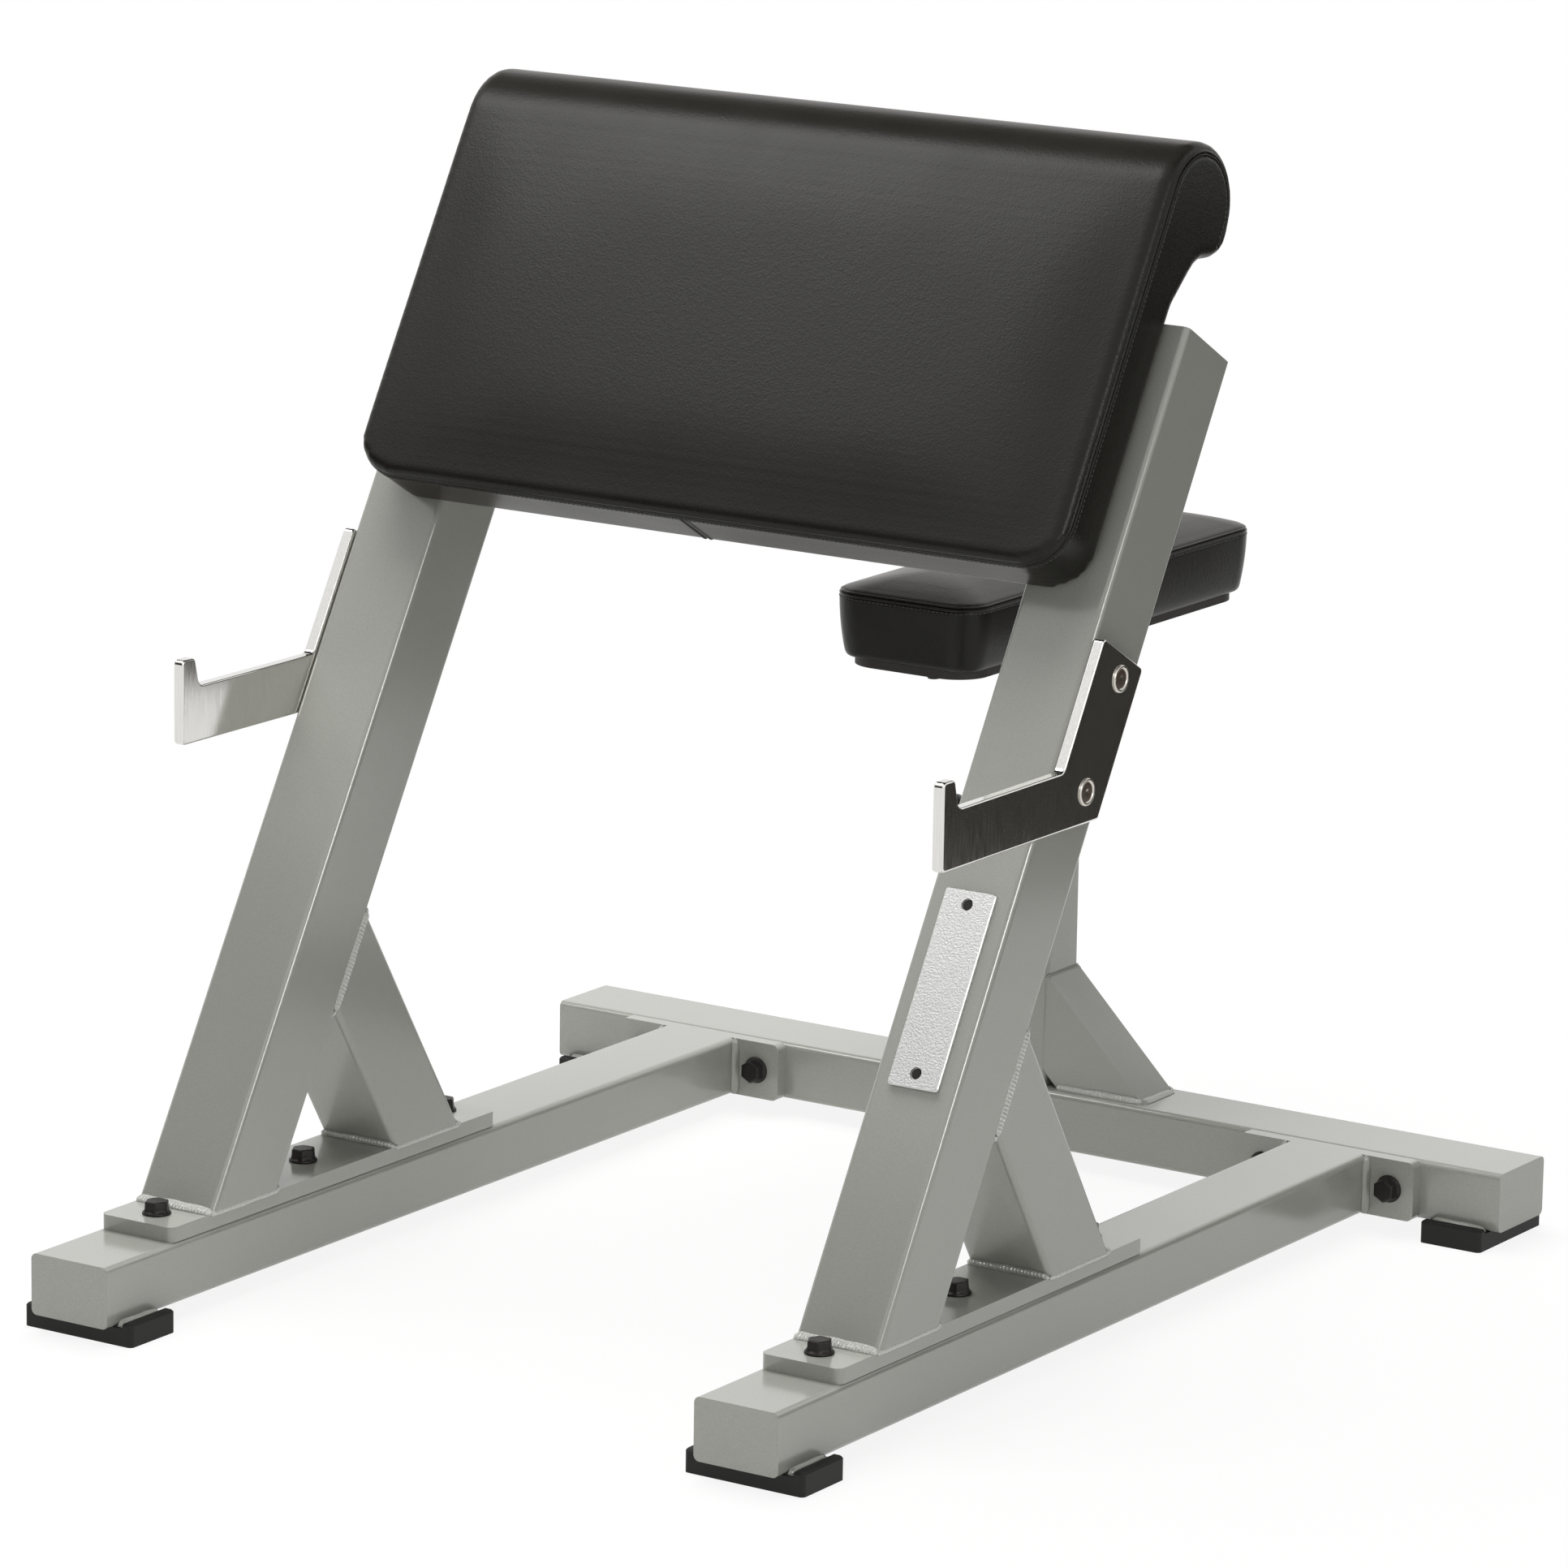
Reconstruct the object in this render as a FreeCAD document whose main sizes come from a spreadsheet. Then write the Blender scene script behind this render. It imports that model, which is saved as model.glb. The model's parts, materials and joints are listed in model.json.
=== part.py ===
import FreeCAD, Part
import math
import os
import re

import Sketcher

# Preacher curl bench.
# +Z is up and the floor is at z = 0. The bar hooks face -Y, the seat is on the +Y side, and the
# origin is under the middle of the bench.

doc = FreeCAD.newDocument("PreacherCurlBench")
sheet = doc.addObject("Spreadsheet::Sheet", "Sizes")

# Driving sizes, in millimetres and degrees
SIZES = {
    # base legs and rear beam, rectangular tube
    "tube_width": 76.2,
    "tube_height": 50.8,
    "tube_wall": 3.0,
    "tube_corner": 5.0,
    "end_cap": 4.0,
    "leg_length": 888.0,
    "leg_spacing": 636.0,
    "flange_wing": 45.9,
    "flange_thick": 12.7,
    "flange_corner": 6.0,
    # feet: a steel plate welded under the tube, and a rubber boot slipped over it
    "foot_setback": 39.0,
    "foot_plate_overhang": 12.9,
    "foot_plate_width": 51.0,
    "foot_plate_thick": 6.3,
    "boot_floor": 8.4,
    "boot_wall": 3.0,
    "boot_lip": 4.0,
    "boot_lip_reach": 6.0,
    "boot_corner": 4.0,
    "boot_edge": 1.6,
    "boot_play": 0.2,
    "rear_boot_gap": 9.0,
    # uprights and braces, square tube, on bolted base plates
    "upright_width": 76.2,
    "upright_depth": 76.2,
    "upright_setback": 90.5,
    "upright_lean": 30.0,
    "upright_reach": 936.0,
    "brace_spread": 343.5,
    "brace_depth": 76.2,
    "brace_lean": 32.0,
    "base_plate_width": 73.0,
    "base_plate_thick": 12.7,
    "base_plate_corner": 7.0,
    "base_plate_end": 26.9,
    "base_bolt_front_gap": 23.2,
    "base_bolt_rear_gap": 27.5,
    "cross_tube_rise": 142.0,
    # half-inch flange bolts and nuts of the frame
    "bolt_diameter": 12.7,
    "bolt_flange": 28.0,
    "bolt_flange_thick": 3.0,
    "bolt_head_flats": 19.0,
    "bolt_head_height": 10.0,
    "bolt_spare": 3.0,
    "nut_height": 11.0,
    "hole_play": 0.4,
    # bar hooks, flat plate
    "hook_thick": 10.0,
    "hook_arm_floor": 442.0,
    "hook_arm_height": 46.5,
    "hook_notch": 151.0,
    "hook_tip_rise": 23.5,
    "hook_tip_top": 16.5,
    "hook_tip_base": 22.0,
    "hook_overhang": 2.0,
    "hook_back": 67.0,
    "hook_plate_rise": 111.0,
    "hook_inner_corner": 7.0,
    "hook_outer_corner": 4.0,
    "hook_bolt_rise": 25.6,
    "hook_bolt_edge": 19.0,
    "hook_bolt_diameter": 12.0,
    "hook_bolt_head": 25.0,
    "hook_bolt_head_height": 6.5,
    "hook_bolt_socket": 10.0,
    "hook_bolt_socket_depth": 4.0,
    "hook_nut_flats": 18.0,
    "hook_nut_height": 10.0,
    # bare cast plate on the right upright
    "badge_reach": 378.0,
    "badge_length": 162.0,
    "badge_width": 46.0,
    "badge_thick": 4.0,
    "badge_corner": 3.0,
    "badge_bevel": 0.8,
    "badge_screw_inset": 12.0,
    "badge_screw_sink": 1.8,
    "badge_screw_head": 9.0,
    "badge_screw_head_height": 1.2,
    "badge_screw_diameter": 4.8,
    "badge_screw_length": 10.0,
    # arm pad with a rolled top edge, on a board
    "pad_side": 18.0,
    "pad_overlap": 228.0,
    "pad_face": 324.0,
    "pad_thick": 57.0,
    "pad_crown": 3.0,
    "pad_drawn_in": 3.0,
    "pad_corner": 40.0,
    "pad_seam_round": 6.0,
    "roll_radius": 52.0,
    "pad_board_thick": 15.0,
    "pad_board_inset": 12.0,
    "pad_board_play": 0.3,
    "pad_bolt_inset": 22.0,
    "pad_bolt_rise": 62.0,
    "pad_bolt_pitch": 130.0,
    "pad_bolt_diameter": 10.0,
    "pad_bolt_flats": 17.0,
    "pad_bolt_head": 7.0,
    "pad_washer": 26.0,
    "pad_washer_thick": 2.0,
    "tee_nut_flange": 24.0,
    "tee_nut_flange_thick": 1.6,
    # seat post: sleeve on the beam, bush in its mouth, inner post
    "sleeve_width": 50.8,
    "sleeve_wall": 3.0,
    "sleeve_corner": 5.0,
    "sleeve_height": 300.0,
    "gusset_leg": 98.0,
    "gusset_rise": 98.0,
    "gusset_thick": 4.0,
    "gusset_notch": 12.0,
    "bush_length": 60.0,
    "bush_wall": 1.9,
    "bush_flange": 3.0,
    "bush_play": 0.2,
    "post_wall": 2.5,
    "post_corner": 4.0,
    "post_play": 0.3,
    "post_showing": 89.0,
    "post_floor_gap": 8.8,
    "seat_hole_pitch": 38.1,
    # seat
    "seat_length": 470.0,
    "seat_width": 145.0,
    "seat_corner": 30.0,
    "seat_side": 58.0,
    "seat_crown": 11.0,
    "seat_drawn_in": 5.0,
    "seat_board_thick": 12.0,
    "seat_board_sunk": 5.0,
    "seat_board_inset": 10.0,
    "seat_board_play": 0.3,
    "seat_bar_setback": 35.0,
    "seat_bar_width": 50.0,
    "seat_bar_thick": 6.0,
    "seat_bolt_edge": 21.5,
    "seat_bolt_diameter": 8.0,
    "seat_bolt_head": 16.0,
    "seat_bolt_head_height": 6.0,
    # pull pin on the left side of the sleeve
    "pin_below_bush": 20.0,
    "pin_diameter": 9.5,
    "pin_travel": 10.0,
    "pin_play": 0.3,
    "pin_park_gap": 1.0,
    "pin_collar": 15.0,
    "pin_collar_thick": 4.0,
    "barrel_diameter": 22.0,
    "barrel_length": 31.0,
    "barrel_end": 4.0,
    "spring_wire": 1.2,
    "knob_diameter": 36.0,
    "knob_length": 30.0,
    "knob_hub": 20.0,
    "knob_bevel": 5.0,
    # every cut runs past its piece by this much
    "overrun": 20.0,
}

# Places and sizes that follow from the driving ones
DERIVED = {
    "leg_x": "(leg_spacing / 2)",
    "front_y": "(-(leg_length + flange_thick + tube_width / 2 + seat_length / 2) / 2)",
    "flange_length": "(tube_width + 2 * flange_wing)",
    "flange_bolt_offset": "(tube_width / 2 + flange_wing / 2)",
    "flange_y": "(front_y + leg_length)",
    "beam_front_y": "(flange_y + flange_thick)",
    "beam_y": "(beam_front_y + tube_width / 2)",
    "boot_length": "(foot_plate_length + 2 * boot_wall)",
    "boot_width": "(foot_plate_width + 2 * boot_wall)",
    "rear_foot_x": "(leg_x + flange_length / 2 + rear_boot_gap + boot_width / 2)",
    "beam_length": "(2 * rear_foot_x + boot_width + 2 * rear_boot_gap)",
    "foot_plate_length": "(tube_width + 2 * foot_plate_overhang)",
    "leg_bottom": "(boot_floor + foot_plate_thick)",
    "leg_middle": "(leg_bottom + tube_height / 2)",
    "leg_top": "(leg_bottom + tube_height)",
    "plate_top": "(leg_top + base_plate_thick)",
    "bolt_hole": "(bolt_diameter + 2 * hole_play)",
    "upright_y": "(front_y + upright_setback)",
    "brace_y": "(upright_y + brace_spread)",
    "lean_sin": "sin(upright_lean * 1 deg)",
    "lean_cos": "cos(upright_lean * 1 deg)",
    "lean_tan": "tan(upright_lean * 1 deg)",
    "brace_sin": "sin(brace_lean * 1 deg)",
    "brace_cos": "cos(brace_lean * 1 deg)",
    "vee_sin": "sin((upright_lean + brace_lean) * 1 deg)",
    "vee_cos": "cos((upright_lean + brace_lean) * 1 deg)",
    "upright_foot_y": "(upright_y + plate_top * lean_tan)",
    "brace_foot_y": "(brace_y + (brace_depth - plate_top * brace_sin) / brace_cos)",
    "base_bolt_front_y": "(upright_foot_y - base_bolt_front_gap)",
    "base_bolt_rear_y": "(brace_foot_y + base_bolt_rear_gap)",
    "plate_middle_y": "((base_bolt_front_y + base_bolt_rear_y) / 2)",
    "base_bolt_pitch": "((base_bolt_rear_y - base_bolt_front_y) / 2)",
    "base_plate_length": "(2 * base_bolt_pitch + 2 * base_plate_end)",
    "hook_x": "(leg_x + upright_width / 2)",
    "hook_hole": "(hook_bolt_diameter + 2 * hole_play)",
    "hook_arm_top": "(hook_arm_floor + hook_arm_height)",
    "hook_top_reach": "(hook_arm_top / lean_cos + hook_plate_rise)",
    "hook_bolt_low": "((hook_arm_floor + hook_bolt_rise + upright_depth / 2 * lean_sin) / lean_cos)",
    "hook_bolt_high": "(hook_top_reach - hook_bolt_edge)",
    "hook_notch_back": "(upright_y + hook_arm_top * lean_tan - hook_overhang / lean_cos)",
    "hook_notch_front": "(hook_notch_back - hook_notch)",
    "badge_screw_offset": "(badge_length / 2 - badge_screw_inset)",
    "pad_reach": "(upright_reach - pad_overlap)",
    "pad_width": "(leg_spacing + 2 * pad_side)",
    "pad_hole": "(pad_bolt_diameter + 2 * hole_play)",
    "pad_bolt_x": "(leg_x - pad_bolt_inset)",
    "pad_bolt_low": "(pad_reach + pad_bolt_rise)",
    "pad_bolt_high": "(pad_bolt_low + pad_bolt_pitch)",
    "cross_tube_reach": "(pad_reach + cross_tube_rise)",
    "sleeve_top": "(leg_top + sleeve_height)",
    "bush_outer": "(sleeve_width - 2 * sleeve_wall - 2 * bush_play)",
    "bush_bore": "(bush_outer - 2 * bush_wall)",
    "post_width": "(bush_bore - 2 * post_play)",
    "post_bottom": "(leg_top + 2 * seat_hole_pitch + post_floor_gap)",
    "post_top": "(sleeve_top + post_showing)",
    "seat_floor": "(post_top + seat_bar_thick)",
    "seat_bar_length": "(seat_length - 2 * seat_bar_setback)",
    "seat_bolt_pitch": "((seat_bar_length - 2 * seat_bolt_edge) / 3)",
    "seat_bolt_hole": "(seat_bolt_diameter + 2 * hole_play)",
    "pin_z": "(sleeve_top - bush_length - pin_below_bush)",
    "pin_hole": "(pin_diameter + 2 * pin_play)",
    "barrel_out": "(sleeve_width / 2)",
    "pin_tip_out": "(post_width / 2 + pin_park_gap)",
    "collar_out": "(barrel_out + pin_park_gap + pin_travel)",
    "knob_out": "(barrel_out + barrel_length + pin_park_gap + pin_travel)",
}

X_AXIS = FreeCAD.Vector(1, 0, 0)
Y_AXIS = FreeCAD.Vector(0, 1, 0)
Z_AXIS = FreeCAD.Vector(0, 0, 1)
SIDES = (("left", -1), ("right", 1))
WORD = re.compile(r"[a-z_]+[a-z0-9_]*")
nodes = []


def in_sheet(text):
    """Turn the plain names in a formula into cells of the sheet, opening up derived names."""
    def cell(match):
        word = match.group(0)
        if word in SIZES:
            return "Sizes." + word
        if word in DERIVED:
            return in_sheet(DERIVED[word])
        return word
    return WORD.sub(cell, text)


def value(text):
    """The present value of a formula."""
    return float(sheet.evalExpression(in_sheet(text)))


def bind(thing, prop, text):
    """Tie a property to a formula."""
    thing.setExpression(prop, in_sheet(text))


def keep(thing, label):
    """Name a finished piece, which is then a node of the bench."""
    thing.Label = label
    nodes.append(thing)
    return thing


def place(thing, x="0", y="0", z="0", axis=X_AXIS, angle="0"):
    """Stand a piece at x, y, z, turned by an angle in degrees about an axis."""
    thing.Placement = FreeCAD.Placement(FreeCAD.Vector(), FreeCAD.Rotation(axis, 1))
    bind(thing, "Placement.Rotation.Angle", f"({angle}) * 1 deg")
    for name, text in (("x", x), ("y", y), ("z", z)):
        bind(thing, "Placement.Base." + name, text)
    return thing


def new_body(label):
    return keep(doc.addObject("PartDesign::Body", label), label)


def new_sketch(body, plane, offset="0"):
    """A sketch on one of the body's own planes, moved along the plane's normal by an offset."""
    sketch = body.newObject("Sketcher::SketchObject", body.Name + "_sketch")
    support = [item for item in body.Origin.OriginFeatures if item.Role == plane + "_Plane"]
    sketch.AttachmentSupport = (support[0], [""])
    sketch.MapMode = "FlatFace"
    bind(sketch, "AttachmentOffset.Base.z", offset)
    return sketch


def pin_point(sketch, geometry, point, x, y):
    """Hold one point of a sketch at x, y from its origin."""
    for kind, text in (("DistanceX", x), ("DistanceY", y)):
        number = sketch.addConstraint(Sketcher.Constraint(kind, -1, 1, geometry, point, value(text)))
        bind(sketch, f"Constraints[{number}]", text)


def outline(body, plane, points, offset="0"):
    """A closed outline of straight runs through points given as pairs of formulas."""
    sketch = new_sketch(body, plane, offset)
    places = [FreeCAD.Vector(value(x), value(y), 0) for x, y in points]
    count = len(points)
    for i in range(count):
        sketch.addGeometry(Part.LineSegment(places[i], places[(i + 1) % count]), False)
    for i in range(count):
        sketch.addConstraint(Sketcher.Constraint("Coincident", i, 2, (i + 1) % count, 1))
    for i, (x, y) in enumerate(points):
        pin_point(sketch, i, 1, x, y)
    return sketch


def rectangle(low_x, low_y, high_x, high_y):
    return [(low_x, low_y), (high_x, low_y), (high_x, high_y), (low_x, high_y)]


def centred(width, height):
    return rectangle(f"-({width}) / 2", f"-({height}) / 2", f"({width}) / 2", f"({height}) / 2")


def circles(body, plane, centres, diameter, offset="0"):
    """Round holes of one diameter at several places."""
    sketch = new_sketch(body, plane, offset)
    for i, (x, y) in enumerate(centres):
        middle = FreeCAD.Vector(value(x), value(y), 0)
        sketch.addGeometry(Part.Circle(middle, Z_AXIS, value(diameter) / 2), False)
        pin_point(sketch, i, 3, x, y)
        number = sketch.addConstraint(Sketcher.Constraint("Diameter", i, value(diameter)))
        bind(sketch, f"Constraints[{number}]", diameter)
    return sketch


def pad(body, sketch, length, middle=False, back=False):
    """Raise a sketch to a length, along its normal, or back, or to both sides of it."""
    feature = body.newObject("PartDesign::Pad", body.Name + "_pad")
    feature.Profile = sketch
    bind(feature, "Length", length)
    feature.Midplane = middle
    feature.Reversed = back
    doc.recompute()
    return feature


def pocket(body, sketch, length=None, middle=False, back=False):
    """Cut a sketch away against its normal, or back along it, or to both sides of it."""
    before = body.Shape.Volume
    feature = body.newObject("PartDesign::Pocket", body.Name + "_pocket")
    feature.Profile = sketch
    if length is None:
        feature.Type = "ThroughAll"
    else:
        bind(feature, "Length", length)
    feature.Midplane = middle
    feature.Reversed = back
    doc.recompute()
    if not body.Shape.Volume < before:
        raise ValueError(body.Label + ": a cut missed the piece")
    return feature


def along(direction):
    """A test for straight edges that run in one direction."""
    def test(edge):
        straight = isinstance(edge.Curve, Part.Line)
        return straight and abs(edge.tangentAt(edge.FirstParameter).dot(direction)) > 0.999
    return test


EASED_SIZE = {"Fillet": "Radius", "Chamfer": "Size"}


def ease_edges(body, size, test, kind="Fillet"):
    """Round or bevel every edge of the body that passes a test."""
    tip = body.Tip
    shape = tip.Shape
    names = [f"Edge{i}" for i, edge in enumerate(shape.Edges, start=1) if test(edge)]
    feature = body.newObject("PartDesign::" + kind, body.Name + "_eased")
    feature.Base = (tip, names)
    bind(feature, EASED_SIZE[kind], size)
    doc.recompute()
    return feature


PLANE_NORMALS = {"XY": Z_AXIS, "YZ": X_AXIS, "XZ": Y_AXIS}


def bar(label, plane, points, length, corner, middle=False, back=False, offset="0"):
    """A straight bar: an outline raised to a length, with its long edges rounded."""
    body = new_body(label)
    pad(body, outline(body, plane, points, offset), length, middle, back)
    ease_edges(body, corner, along(PLANE_NORMALS[plane]))
    return body


def hollow(body, plane, points, offset="0"):
    """Run a bore through the whole bar."""
    pocket(body, outline(body, plane, points, offset), middle=True)
    return body


def plain_box(label, length, width, height, x, y, z):
    """A plain block, given by its sizes and the middle of its underside."""
    box = keep(doc.addObject("Part::Box", label), label)
    for prop, text in (("Length", length), ("Width", width), ("Height", height)):
        bind(box, prop, text)
    return place(box, f"{x} - ({length}) / 2", f"{y} - ({width}) / 2", z)


def turned(label, points):
    """A turned piece: a half profile (along Y, out from the axis) spun about the Y axis."""
    body = new_body(label)
    profile = outline(body, "YZ", points)
    feature = body.newObject("PartDesign::Revolution", body.Name + "_turn")
    feature.Profile = profile
    feature.ReferenceAxis = (profile, ["H_Axis"])
    doc.recompute()
    return body


# Fasteners: one of each kind is made upright at the origin, seated at z = 0, and copied to its places

def primitive(kind, name, **sizes):
    thing = doc.addObject("Part::" + kind, name)
    for prop, text in sizes.items():
        bind(thing, prop, text)
    return thing


def fused(name, pieces):
    whole = doc.addObject("Part::MultiFuse", name)
    whole.Shapes = pieces
    return whole


def cut(name, base, tool):
    rest = doc.addObject("Part::Cut", name)
    rest.Base = base
    rest.Tool = tool
    return rest


def hexagon(name, flats, height):
    prism = primitive("Prism", name, Circumradius=f"{flats} / sqrt(3)", Height=height)
    prism.Polygon = 6
    return prism


def flange_bolt(name, grip):
    """Hexagon head on a round flange, with a shank that grips the given thickness."""
    length = f"({grip} + nut_height + bolt_spare)"
    flange = primitive("Cone", name + "_flange", Radius1="bolt_flange / 2",
                       Radius2="bolt_flange / 2 - bolt_flange_thick / 2", Height="bolt_flange_thick")
    head = hexagon(name + "_head", "bolt_head_flats", "bolt_flange_thick + bolt_head_height")
    shank = primitive("Cylinder", name + "_shank", Radius="bolt_diameter / 2", Height=length)
    bind(shank, "Placement.Base.z", f"-{length}")
    return fused(name, [flange, head, shank])


def hexagon_nut(name, flats, height, diameter):
    """A nut below its seat, with a bore that clears the shank."""
    block = hexagon(name + "_block", flats, height)
    bore = primitive("Cylinder", name + "_bore", Radius=f"{diameter} / 2 + hole_play / 2", Height=height)
    nut = cut(name, block, bore)
    bind(nut, "Placement.Base.z", f"-({height})")
    return nut


def button_bolt(name, diameter, head, head_height, length, socket=None):
    """Low domed head with a shank, and a hexagon socket where one is given."""
    dome = primitive("Cone", name + "_dome", Radius1=f"{head} / 2",
                     Radius2=f"{head} / 2 - {head_height} / 2", Height=head_height)
    shank = primitive("Cylinder", name + "_shank", Radius=f"{diameter} / 2", Height=length)
    bind(shank, "Placement.Base.z", f"-({length})")
    bolt = fused(name + "_blank", [dome, shank])
    if socket is None:
        return bolt
    flats, depth = socket
    recess = hexagon(name + "_socket", flats, f"{depth} + overrun")
    bind(recess, "Placement.Base.z", f"{head_height} - {depth}")
    return cut(name, bolt, recess)


def copies(label, master, placements):
    """One node with a copy of a fastener at each place."""
    doc.recompute()
    solids = []
    for where in placements:
        solid = master.Shape.copy()
        solid.Placement = where.multiply(master.Placement)
        solids.append(solid)
    group = keep(doc.addObject("Part::Feature", label), label)
    group.Shape = Part.makeCompound(solids)
    return group


def at(x, y, z, axis=X_AXIS, angle=0.0):
    """A place for a fastener, with its head's side turned by an angle about an axis."""
    spot = FreeCAD.Vector(value(x), value(y), value(z))
    return FreeCAD.Placement(spot, FreeCAD.Rotation(axis, angle))


for row, (alias, size) in enumerate(SIZES.items(), start=1):
    sheet.set(f"A{row}", alias.replace("_", " "))
    sheet.set(f"B{row}", str(size))
    sheet.setAlias(f"B{row}", alias)
doc.recompute()

HEAD_TO_FRONT = 90.0
HEAD_TO_BACK = -90.0
HEAD_DOWN = 180.0


# Base legs, their front caps and their rear flanges

TUBE_SECTION = centred("tube_width", "tube_height")
TUBE_BORE = centred("tube_width - 2 * tube_wall", "tube_height - 2 * tube_wall")
BASE_BOLT_STEPS = ("-base_bolt_pitch", "0", "base_bolt_pitch")


def leg(side, sign):
    tube = bar(f"{side}_leg_tube", "XZ", TUBE_SECTION, "leg_length - end_cap", "tube_corner", back=True)
    hollow(tube, "XZ", TUBE_BORE)
    rows = [("0", f"plate_middle_y - front_y - end_cap + {step}") for step in BASE_BOLT_STEPS]
    pocket(tube, circles(tube, "XY", rows, "bolt_hole"), back=True)
    place(tube, f"{sign} * leg_x", "front_y + end_cap", "leg_middle")

    cap = bar(f"{side}_leg_cap", "XZ", TUBE_SECTION, "end_cap", "tube_corner", back=True)
    place(cap, f"{sign} * leg_x", "front_y", "leg_middle")

    flange = bar(f"{side}_leg_flange", "XZ", centred("flange_length", "tube_height"), "flange_thick",
                 "flange_corner", back=True)
    spots = [("-flange_bolt_offset", "0"), ("flange_bolt_offset", "0")]
    pocket(flange, circles(flange, "XZ", spots, "bolt_hole"), middle=True)
    place(flange, f"{sign} * leg_x", "flange_y", "leg_middle")


for side, sign in SIDES:
    leg(side, sign)


# Rear beam and its end caps

BEAM_BOLTS = [f"{sign} * leg_x + {step} * flange_bolt_offset" for _, sign in SIDES for step in (-1, 1)]


def rear_beam():
    beam = bar("rear_beam", "YZ", TUBE_SECTION, "beam_length - 2 * end_cap", "tube_corner", middle=True)
    hollow(beam, "YZ", TUBE_BORE)
    pocket(beam, circles(beam, "XZ", [(x, "0") for x in BEAM_BOLTS], "bolt_hole"), middle=True)
    place(beam, "0", "beam_y", "leg_middle")
    for side, sign in SIDES:
        cap = bar(f"{side}_beam_cap", "YZ", TUBE_SECTION, "end_cap", "tube_corner", middle=True)
        place(cap, f"{sign} * (beam_length - end_cap) / 2", "beam_y", "leg_middle")


rear_beam()


# Feet: the plates lie across the tubes, and the boots grip their ends

def boot(label, across_x):
    """A rubber tray with a lip over each end of the foot plate; its long side runs along X or Y."""
    def turn(length, width):
        return centred(length, width) if across_x else centred(width, length)
    body = bar(label, "XY", turn("boot_length", "boot_width"), "leg_bottom + boot_lip", "boot_corner")
    seat = turn("foot_plate_length + 2 * boot_play", "foot_plate_width + 2 * boot_play")
    pocket(body, outline(body, "XY", seat, "leg_bottom"), "foot_plate_thick")
    mouth = turn("foot_plate_length - 2 * boot_lip_reach", "boot_width + overrun")
    pocket(body, outline(body, "XY", mouth, "leg_bottom + boot_lip"), "boot_lip")
    top = value("leg_bottom + boot_lip")
    reach = value("boot_length / 2")

    def outer_top(edge):
        middle = edge.CenterOfMass
        far = abs(middle.x) if across_x else abs(middle.y)
        return abs(middle.z - top) < 0.01 * top and abs(far - reach) < 0.01 * reach
    ease_edges(body, "boot_edge", outer_top, "Chamfer")
    return body


def feet():
    for side, sign in SIDES:
        front_x = f"{sign} * leg_x"
        front_place = "front_y + foot_setback"
        rear_x = f"{sign} * rear_foot_x"
        plain_box(f"{side}_front_foot_plate", "foot_plate_length", "foot_plate_width",
                  "foot_plate_thick", front_x, front_place, "boot_floor")
        plain_box(f"{side}_rear_foot_plate", "foot_plate_width", "foot_plate_length",
                  "foot_plate_thick", rear_x, "beam_y", "boot_floor")
        place(boot(f"{side}_front_boot", True), front_x, front_place)
        place(boot(f"{side}_rear_boot", False), rear_x, "beam_y")


feet()


# Uprights and braces: each stands in its own leaning frame, with z up the slope, y to the back
# and its front face at y = 0

UPRIGHT_HOOK_BOLTS = ("hook_bolt_low", "hook_bolt_high")
PAD_BOLTS = ("pad_bolt_low", "pad_bolt_high")
BADGE_SCREWS = ("badge_reach - badge_screw_offset", "badge_reach + badge_screw_offset")
UPRIGHT_SECTION = rectangle("-upright_width / 2", "0", "upright_width / 2", "upright_depth")
UPRIGHT_BORE = rectangle("-upright_width / 2 + tube_wall", "tube_wall",
                         "upright_width / 2 - tube_wall", "upright_depth - tube_wall")
BRACE_SECTION = rectangle("-upright_width / 2", "0", "upright_width / 2", "brace_depth")
BRACE_BORE = rectangle("-upright_width / 2 + tube_wall", "tube_wall",
                       "upright_width / 2 - tube_wall", "brace_depth - tube_wall")
UPRIGHT_TURN = "-upright_lean"


def trim(body, line, depth, far):
    """Cut the end of a leaning tube off at a sloping line, given as a formula of the depth y."""
    near_y, far_y = "-overrun", f"({depth} + overrun)"
    points = [(near_y, line(near_y)), (far_y, line(far_y)), (far_y, far), (near_y, far)]
    pocket(body, outline(body, "YZ", points), middle=True)


def upright(side, sign):
    tube = bar(f"{side}_upright", "XY", UPRIGHT_SECTION, "upright_reach - end_cap", "tube_corner")
    hollow(tube, "XY", UPRIGHT_BORE)
    trim(tube, lambda y: f"(plate_top + {y} * lean_sin) / lean_cos", "upright_depth", "-overrun")
    hooks = [("upright_depth / 2", reach) for reach in UPRIGHT_HOOK_BOLTS]
    pocket(tube, circles(tube, "YZ", hooks, "hook_hole"), back=sign > 0)
    through = [(f"-{sign} * pad_bolt_inset", reach) for reach in PAD_BOLTS]
    pocket(tube, circles(tube, "XZ", through, "pad_hole"), middle=True)
    if side == "right":
        screws = [("0", reach) for reach in BADGE_SCREWS]
        shallow = circles(tube, "XZ", screws, "badge_screw_diameter + 2 * hole_play")
        pocket(tube, shallow, "2 * tube_wall", middle=True)
    place(tube, f"{sign} * leg_x", "upright_y", "0", X_AXIS, UPRIGHT_TURN)

    cap = bar(f"{side}_upright_cap", "XY", UPRIGHT_SECTION, "end_cap", "tube_corner",
              offset="upright_reach - end_cap")
    place(cap, f"{sign} * leg_x", "upright_y", "0", X_AXIS, UPRIGHT_TURN)


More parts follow.
